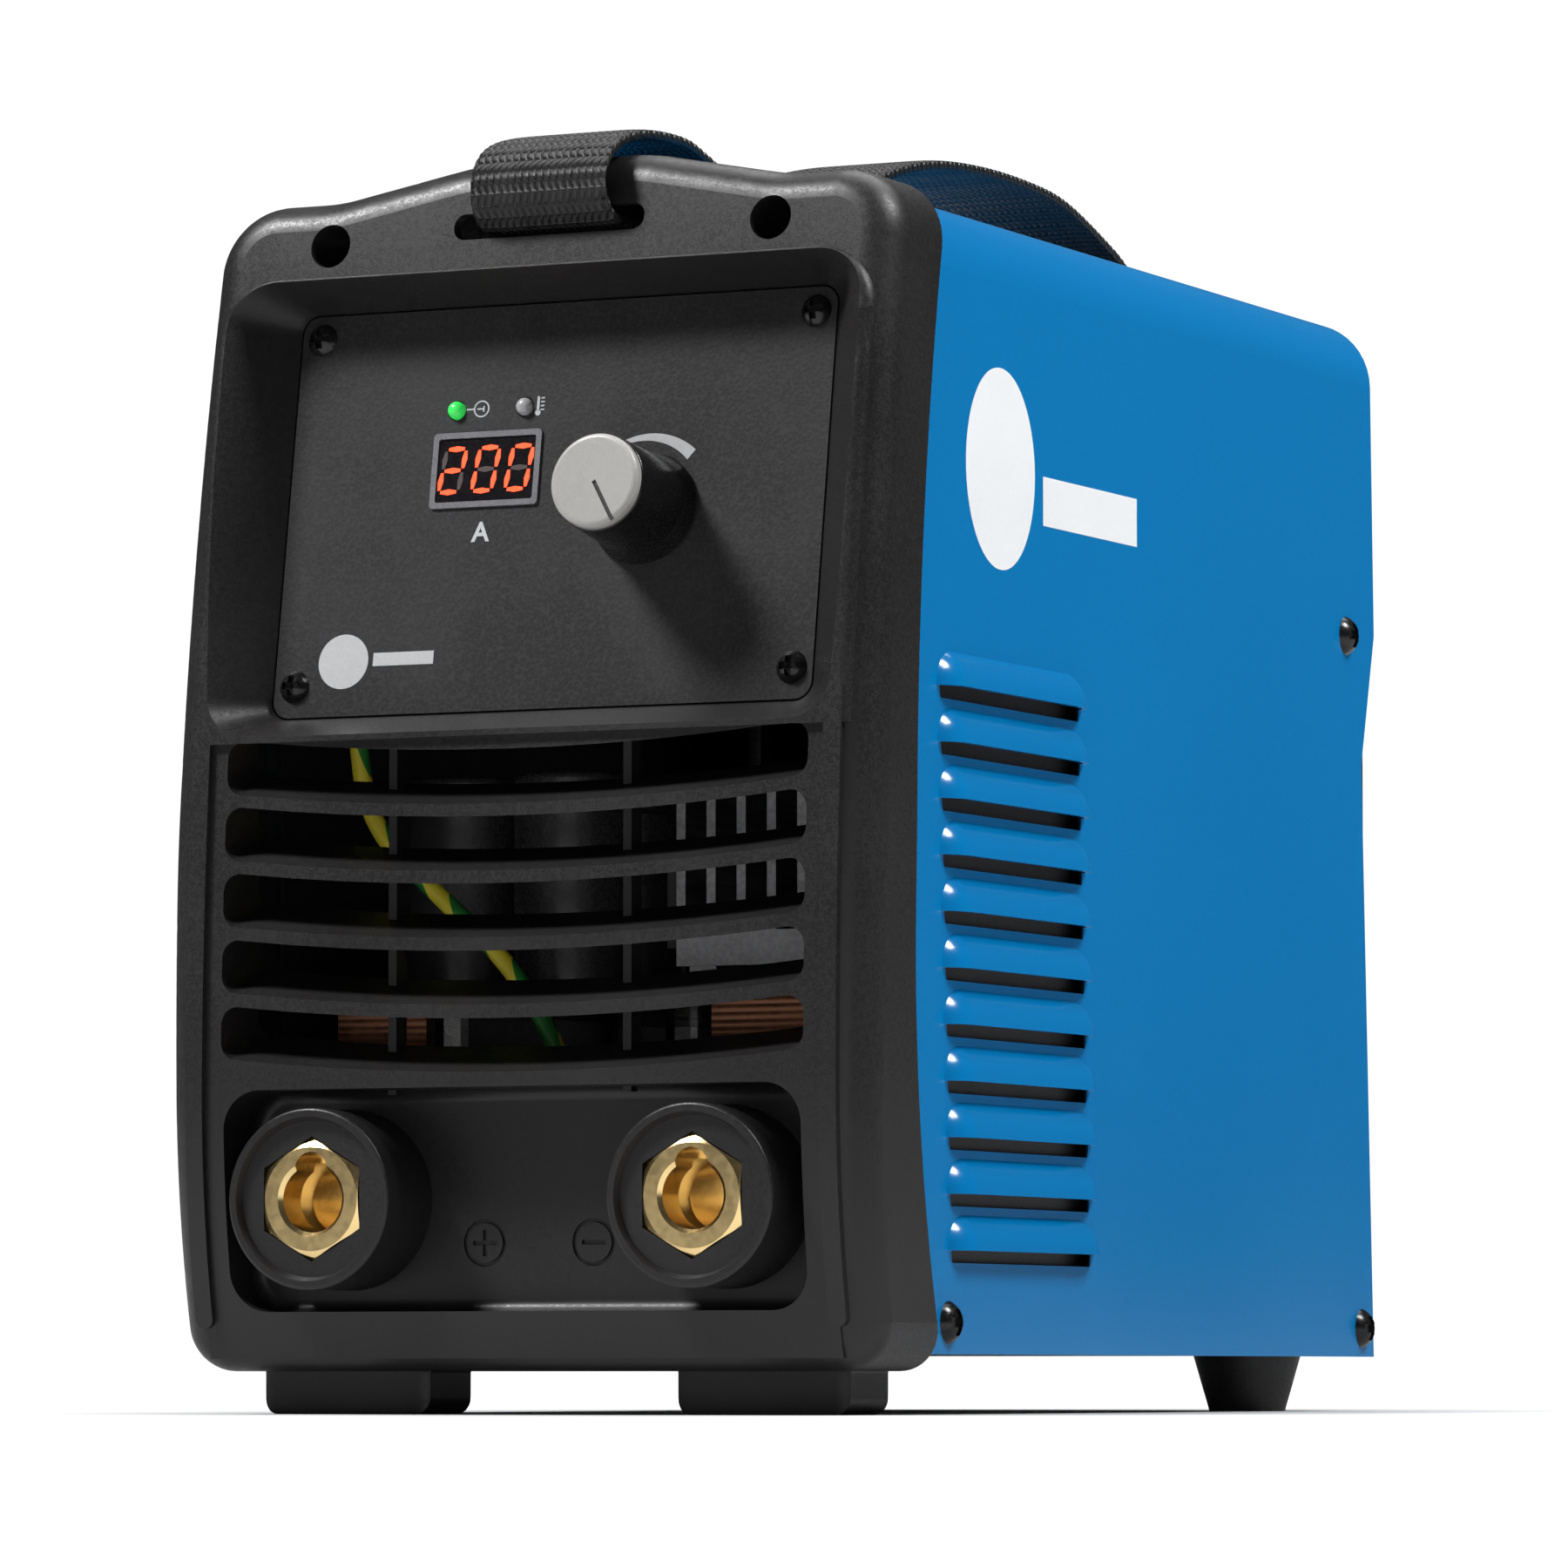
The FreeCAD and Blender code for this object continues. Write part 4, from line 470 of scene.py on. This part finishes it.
def ring(work, x, z, outer, inner, start=0.0, sweep=2 * math.pi, segments=48, inner_end=None):
    """Flat ring or part of one, facing -Y; inner_end lets the inner edge drift to another radius."""
    count = max(3, int(segments * sweep / (2 * math.pi)))
    made = bmesh.ops.create_grid(work, x_segments=count, y_segments=1, size=1.0)
    faces = faces_of(made)
    last = inner if inner_end is None else inner_end
    for vert in made["verts"]:
        part = (vert.co.x + 1) / 2
        angle = start + sweep * part
        radius = outer if vert.co.y > 0 else inner + (last - inner) * part
        vert.co = (x + radius * math.sin(angle), 0, z + radius * math.cos(angle))
    if inner_end is None:
        bmesh.ops.remove_doubles(work, verts=made["verts"], dist=1e-7)
        faces = [f for f in faces if f.is_valid]
    thin(work, faces)


# ---- strap ----------------------------------------------------------------------------------
STRAP_ROUTE = [(-101, 236.7), (-112, 237), (-119.5, 237.1), (-124.3, 237.9), (-127.2, 241.6), (-126.6, 246.6),
               (-121, 251.4), (-109.5, 254.6), (-93, 255.3), (-82, 253.2), (-60, 247.2), (-40, 246.6), (-18, 252.5),
               (6, 261.5), (28.5, 266.6), (53, 268.6), (78, 268.6), (97.8, 266.9), (119.6, 261.1),
               (133, 256), (141, 248.5), (142.6, 240.5), (138.5, 235), (128, 234), (116, 234)]
ROUTE_STEPS = 24
STRAP_ROWS, STRAP_COLUMNS = 1000, 24
EDGE_ROUNDING = 0.35 * MM


def smooth_route(points, steps):
    """Evenly spaced places and directions along a Catmull-Rom line through (y, z) points in millimetres."""
    knots = [Vector((0, y * MM, z * MM)) for y, z in points]
    knots = [2 * knots[0] - knots[1]] + knots + [2 * knots[-1] - knots[-2]]
    dense = []
    for a, b, c, d in zip(knots, knots[1:], knots[2:], knots[3:]):
        for k in range(ROUTE_STEPS):
            t = k / ROUTE_STEPS
            dense.append(0.5 * (2 * b + (c - a) * t + (2 * a - 5 * b + 4 * c - d) * t ** 2
                                + (3 * b - a - 3 * c + d) * t ** 3))
    dense.append(knots[-2])
    reach = [0.0]
    for a, b in zip(dense, dense[1:]):
        reach.append(reach[-1] + (b - a).length)
    spots, k = [], 0
    for n in range(steps + 1):
        want = reach[-1] * n / steps
        while k < len(reach) - 2 and reach[k + 1] < want:
            k += 1
        part = (want - reach[k]) / max(1e-9, reach[k + 1] - reach[k])
        spots.append(dense[k].lerp(dense[k + 1], part))
    ways = [(spots[min(steps, n + 1)] - spots[max(0, n - 1)]).normalized() for n in range(steps + 1)]
    return spots, ways, reach[-1]


class WELDER_OT_strap(bpy.types.Operator):
    """Adds the webbing strap over both bezels"""
    bl_idname = "welder.strap"
    bl_label = "Carrying strap"

    def execute(self, context):
        s = context.scene.welder_strap
        spots, ways, length = smooth_route(STRAP_ROUTE, STRAP_ROWS)

        def build(work):
            uv = work.loops.layers.uv.new("weave")
            made = bmesh.ops.create_grid(work, x_segments=STRAP_COLUMNS, y_segments=STRAP_ROWS, size=0.5)
            for vert in made["verts"]:
                across, along = vert.co.x, vert.co.y + 0.5
                for loop in vert.link_loops:
                    loop[uv].uv = (across + 0.5, along * length)
            for vert in made["verts"]:
                across, n = vert.co.x, round((vert.co.y + 0.5) * STRAP_ROWS)
                way = ways[n]
                up = Vector((0, -way.z, way.y))
                swell = math.sin(math.pi * ((n / STRAP_ROWS * length / s.rib) % 1.0))
                edge = (abs(across) * 2) ** 8
                lift = s.relief * swell ** 0.6 - EDGE_ROUNDING * edge
                vert.co = spots[n] + Vector((across * s.width, 0, 0)) + up * (s.thickness / 2 - s.relief + lift)
            bmesh.ops.solidify(work, geom=list(work.faces), thickness=s.thickness - s.relief)

        made = piece("strap_webbing", build, "webbing")
        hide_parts("carry_strap")
        return {"FINISHED"}


# ---- display and prints ---------------------------------------------------------------------
SEGMENTS = {0: "abcdef", 1: "bc", 2: "abged", 3: "abgcd", 4: "fgbc", 5: "afgcd", 6: "afgedc", 7: "abc",
            8: "abcdefg", 9: "abcdfg"}
SEGMENT_PLACES = {"a": (0, 1, 0), "b": (0.5, 0.5, 90), "c": (0.5, -0.5, 90), "d": (0, -1, 0), "e": (-0.5, -0.5, 90),
                  "f": (-0.5, 0.5, 90), "g": (0, 0, 0)}
DISPLAY_X, DISPLAY_Z = -15.5 * MM, 7.75 * MM    # middle of the display on the panel's drawing
DISPLAY_FRONT = -0.24 * MM
SEGMENT_DEPTH = 0.04 * MM
# Shares of the digit's height: step between digits, span between the top and bottom bars, width of a bar.
DIGIT_STEP, DIGIT_SPAN, BAR_WIDTH = 0.83, 0.98, 0.135
BAR_LENGTH = 0.94                               # share of half the span


def digit(work, x, height, letters):
    """Bars of one upright seven-segment digit centred at x."""
    half = height / 2 * DIGIT_SPAN
    size = Matrix.Diagonal((half * BAR_LENGTH, height * BAR_WIDTH, 1, 1))
    for letter in letters:
        dx, dz, turn = SEGMENT_PLACES[letter]
        place = (Matrix.Translation((x + dx * half, DISPLAY_FRONT, dz * half))
                 @ Matrix.Rotation(math.radians(turn), 4, "Y"))
        made = bmesh.ops.create_circle(work, cap_ends=True, radius=0.5, segments=6,
                                       matrix=place @ FACING_FRONT @ size)
        thin(work, faces_of(made), SEGMENT_DEPTH)


class WELDER_OT_display(bpy.types.Operator):
    """Adds the lit number and the dark segments beside it"""
    bl_idname = "welder.display"
    bl_label = "Display digits"

    def execute(self, context):
        s = context.scene.welder_display
        number = f"{s.amps:3d}"
        pitch = s.digit_height * DIGIT_STEP
        slope = math.tan(s.slant)

        def segments(lit):
            def build(work):
                for k, mark in enumerate(number):
                    on = SEGMENTS[int(mark)] if mark.strip() else ""
                    letters = on if lit else "".join(c for c in "abcdefg" if c not in on)
                    digit(work, (k - 1) * pitch, s.digit_height, letters)
                for vert in work.verts:
                    vert.co.x += vert.co.z * slope
            return build

        centre = PANEL_PLACE @ Matrix.Translation((DISPLAY_X, 0, DISPLAY_Z))
        lit = glowing("Lit segments", (0.95, 0.075, 0.022), s.glow)
        unlit = finish("Dark segments", moulded_grain(), (0.035, 0.018, 0.018), 0.5, depth=0.003)
        piece("digits_lit", segments(True), "display_lens", lit, centre, smooth=False)
        piece("digits_dark", segments(False), "display_lens", unlit, centre, smooth=False)
        return {"FINISHED"}


def letter_mesh(text, size):
    """Bmesh builder of a flat letter standing on the panel's drawing."""
    def build(work):
        curve = bpy.data.curves.new("letter", "FONT")
        curve.body, curve.size, curve.align_x, curve.offset = text, size, "CENTER", 0.022 * size
        holder = bpy.data.objects.new("letter", curve)
        mesh = bpy.data.meshes.new_from_object(holder)
        work.from_mesh(mesh)
        bmesh.ops.rotate(work, verts=work.verts, matrix=Matrix.Rotation(math.pi / 2, 3, "X"))
        thin(work, list(work.faces))
        bpy.data.objects.remove(holder)
        bpy.data.curves.remove(curve)
        bpy.data.meshes.remove(mesh)
    return build


# Middle x, middle z, width and height in millimetres: the output mark beside the green light, then the
# thermometer beside the dim one.
SYMBOL_BARS = [(-20.1, 20.3, 1.6, 0.32), (-17.9, 20.3, 1.3, 0.3), (-17.1, 20.3, 0.3, 1.2), (-4.9, 20.7, 0.55, 3.1),
               (-3.9, 19.5, 0.8, 0.28), (-3.9, 20.3, 0.8, 0.28), (-3.9, 21.1, 0.8, 0.28), (-3.9, 21.9, 0.8, 0.28)]


class WELDER_OT_print(bpy.types.Operator):
    """Adds the pale print of the control panel"""
    bl_idname = "welder.print"
    bl_label = "Panel print"

    def execute(self, context):
        case = context.scene.welder_case
        pale = finish("Pale print", moulded_grain(), tuple(0.5 * c for c in case.print_color), 0.5, depth=0.004,
                      tone=0.06)
        grey = finish("Grey print", moulded_grain(), (0.36, 0.365, 0.375), 0.5, depth=0.004, tone=0.06)

        def symbols(work):
            for x, z, width, height in SYMBOL_BARS:
                bar(work, x * MM, z * MM, width * MM, height * MM)
            ring(work, -17.6 * MM, 20.3 * MM, 1.75 * MM, 1.45 * MM)
            disc(work, -4.9 * MM, 18.9 * MM, 0.62 * MM, segments=20)

        def scale_arc(work):
            ring(work, 20.8 * MM, DIAL_Z, 15.3 * MM, 14.6 * MM, start=math.radians(-30), sweep=math.radians(71),
                 segments=160, inner_end=12.7 * MM)

        def triangle(work):
            made = bmesh.ops.create_circle(work, cap_ends=True, radius=0.95 * MM, segments=3,
                                           matrix=Matrix.Translation((20.9 * MM, 0, -11.9 * MM)) @ FACING_FRONT)
            thin(work, faces_of(made))

        def plain_badge(work):
            disc(work, -44.4 * MM, -30.6 * MM, 5.6 * MM, segments=72)
            bar(work, -30.9 * MM, -30.4 * MM, 13.6 * MM, 2.7 * MM)

        letter_place = PANEL_PLACE @ Matrix.Translation((-15.7 * MM, 0, -7.0 * MM))
        for name, build, color, place in (("panel_symbols", symbols, grey, PANEL_PLACE),
                                          ("current_arc", scale_arc, grey, PANEL_PLACE),
                                          ("dial_mark", triangle, grey, PANEL_PLACE),
                                          ("amp_letter", letter_mesh("A", 5.6 * MM), pale, letter_place),
                                          ("panel_badge", plain_badge, pale, PANEL_PLACE)):
            piece(name, build, "display_grey", color, place, smooth=False)
        return {"FINISHED"}


class WELDER_OT_badges(bpy.types.Operator):
    """Adds a plain pale badge to both sides of the cover"""
    bl_idname = "welder.badges"
    bl_label = "Cover badges"

    def execute(self, context):
        case = context.scene.welder_case
        white = finish("Cover print", moulded_grain(), tuple(case.print_color), 0.42, depth=0.004, tone=0.03)

        def badge(work):
            disc(work, 0, 0, 20.3 * MM, squash=0.83, segments=96)
            bar(work, 45.0 * MM, -4.5 * MM, 48.0 * MM, 10.0 * MM)

        for label, side in (("right", 1), ("left", -1)):
            place = (Matrix.Translation((side * COVER_FACE, BADGE_ALONG[label], BADGE_UP))
                     @ Matrix.Rotation(side * math.pi / 2, 4, "Z"))
            piece(f"cover_badge_{label}", badge, "blue_paint", white, place, smooth=False)
        return {"FINISHED"}


class WELDER_OT_pointer(bpy.types.Operator):
    """Adds the dark line in the knob cap's groove"""
    bl_idname = "welder.pointer"
    bl_label = "Knob pointer"

    def execute(self, context):
        dark = finish("Pointer line", moulded_grain(), (0.012, 0.012, 0.012), 0.5, depth=0.003)

        def line(work):
            bar(work, 0, 4.9 * MM, 0.80 * MM, 9.2 * MM, thickness=0.06 * MM)
        place = (PANEL_PLACE @ Matrix.Translation((DIAL_X, CAP_FRONT, DIAL_Z))
                 @ Matrix.Rotation(POINTER_TURN, 4, "Y"))
        piece("knob_pointer", line, "knob_grey", dark, place, body="knob", smooth=False)
        return {"FINISHED"}


class WELDER_OT_finishes(bpy.types.Operator):
    """Gives every part of the frame its finish"""
    bl_idname = "welder.finishes"
    bl_label = "Finishes"

    def execute(self, context):
        by_slot = finishes()
        for entry in frame["record"]["subparts"]:
            node = NODES[entry["node"]]
            if not node.material_slots:
                raise RuntimeError(entry["node"] + " has no material slot")
            for holder in node.material_slots:
                holder.material = by_slot[entry["material_slot"]]
        return {"FINISHED"}


# ---- stage ----------------------------------------------------------------------------------
LIGHT_AIM = Vector((0, 0, 0.12))
LIGHTS = [("top_softbox", (0.0, 0.50, 1.5), (1.0, 1.0), 14), ("key", (-0.80, -0.80, 1.42), (0.36, 0.36), 42),
          ("side_softbox", (1.12, 0.02, 1.58), (0.5, 0.5), 34), ("low_front", (0.35, -1.9, 0.20), (1.2, 0.4), 2.2)]
CAMERA_AT, SENSOR_WIDTH, VIEW_REACH = (0.75176, -1.58519, 0.00735), 36.0, 200.0
WHITE = (1, 1, 1, 1)
# Painted floor shade: outside this oval a glow seen only by the camera turns the floor white; inside it the floor
# stays grey round the case.
PAINTED_FLOOR_SHADE_OVAL = (0.21, 0.34, 1.0)    # half-width and half-depth of the shaded oval, in metres
# The camera sees the floor darker than the colour it bounces, which keeps the painted shade grey.
FLOOR_LIT, FLOOR_SEEN = (0.55, 0.55, 0.55, 1), (0.36, 0.36, 0.36, 1)


def area_light(name, place, size, power):
    """Rectangular soft light aimed at the middle of the case."""
    light = bpy.data.lights.new(name, "AREA")
    light.shape, light.size, light.size_y, light.energy = "RECTANGLE", size[0], size[1], power
    holder = bpy.data.objects.new(name, light)
    bpy.context.collection.objects.link(holder)
    holder.location = place
    holder.rotation_euler = (LIGHT_AIM - Vector(place)).to_track_quat("-Z", "Y").to_euler()


def floor_finish():
    """Pale floor with a painted soft shade near the case: a glow seen only by the camera grows outside an oval round
    the case, so the floor runs out into plain white.
    """
    made = finish("Pale floor", moulded_grain(), (0.93, 0.93, 0.93), 0.75, depth=0.01, tone=0.01,
                  Specular_IOR_Level=0.1)
    tree = made.node_tree
    shader = tree.nodes["Principled BSDF"].inputs
    oval = add(tree, "Mapping", {"vector_type": "TEXTURE"}, Vector=add(tree, "TexCoord").outputs["Object"],
               Scale=PAINTED_FLOOR_SHADE_OVAL).outputs[0]
    far = add(tree, "VectorMath", {"operation": "LENGTH"}, i0=oval).outputs[1]
    seen = add(tree, "LightPath").outputs["Is Camera Ray"]
    # Painted shade: the camera-only white glow is zero near the case and full outside the oval.
    tree.links.new(calc(tree, "MULTIPLY", mask(tree, far, 0.30, 1.05), seen), shader["Emission Strength"])
    tree.links.new(blend_colors(tree, seen, FLOOR_LIT, FLOOR_SEEN), shader["Base Color"])
    shader["Emission Color"].default_value = WHITE
    return made


class WELDER_OT_stage(bpy.types.Operator):
    """Adds the pale floor, the soft lights and the camera"""
    bl_idname = "welder.stage"
    bl_label = "Stage"

    def execute(self, context):
        s = context.scene.welder_stage
        scene = context.scene
        work = bmesh.new()
        bmesh.ops.create_grid(work, x_segments=1, y_segments=1, size=s.floor_size / 2)
        data = bpy.data.meshes.new("floor")
        work.to_mesh(data)
        work.free()
        floor = bpy.data.objects.new("floor", data)
        scene.collection.objects.link(floor)
        data.materials.append(floor_finish())

        world = bpy.data.worlds.new("Studio")
        scene.world = world
        world.use_nodes = True
        tree = world.node_tree
        back = tree.nodes["Background"]
        seen = add(tree, "LightPath").outputs["Is Camera Ray"]
        tree.links.new(spread(tree, seen, 0.0, 1.0, 0.05, 1.05), back.inputs["Strength"])
        back.inputs["Color"].default_value = WHITE

        for light in LIGHTS:
            area_light(*light)

        camera = bpy.data.cameras.new("camera")
        camera.lens, camera.sensor_width, camera.clip_end = s.lens, SENSOR_WIDTH, VIEW_REACH
        holder = bpy.data.objects.new("camera", camera)
        scene.collection.objects.link(holder)
        holder.location = CAMERA_AT
        holder.rotation_euler = (math.pi / 2 + s.pitch, 0, s.heading)
        scene.camera = holder
        scene.view_settings.view_transform = "Standard"
        return {"FINISHED"}


class WELDER_PT_sidebar(bpy.types.Panel):
    """Sidebar panel with every piece of the welder"""
    bl_idname = "WELDER_PT_sidebar"
    bl_label = "Welding Power Source"
    bl_space_type = "VIEW_3D"
    bl_region_type = "UI"
    bl_category = "Welder"

    def draw(self, context):
        scene = context.scene
        for settings in SETTINGS:
            holder = getattr(scene, SETTINGS[settings])
            for name in settings.__annotations__:
                self.layout.prop(holder, name)
        for operator in STEPS:
            self.layout.operator(operator.bl_idname)


SETTINGS = {CaseSettings: "welder_case", DisplaySettings: "welder_display", StrapSettings: "welder_strap",
            StageSettings: "welder_stage"}
STEPS = (WELDER_OT_finishes, WELDER_OT_strap, WELDER_OT_display, WELDER_OT_print, WELDER_OT_badges,
         WELDER_OT_pointer, WELDER_OT_stage)


def register():
    """Registers the settings, operators and panel."""
    for cls in (*SETTINGS, *STEPS, WELDER_PT_sidebar):
        bpy.utils.register_class(cls)
    for cls, name in SETTINGS.items():
        setattr(bpy.types.Scene, name, bpy.props.PointerProperty(type=cls))


def unregister():
    """Removes what register added."""
    for name in SETTINGS.values():
        delattr(bpy.types.Scene, name)
    for cls in reversed((*SETTINGS, *STEPS, WELDER_PT_sidebar)):
        bpy.utils.unregister_class(cls)


def main():
    """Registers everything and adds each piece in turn."""
    register()
    for step in STEPS:
        group, name = step.bl_idname.split(".")
        getattr(getattr(bpy.ops, group), name)()


if __name__ == "__main__":
    main()
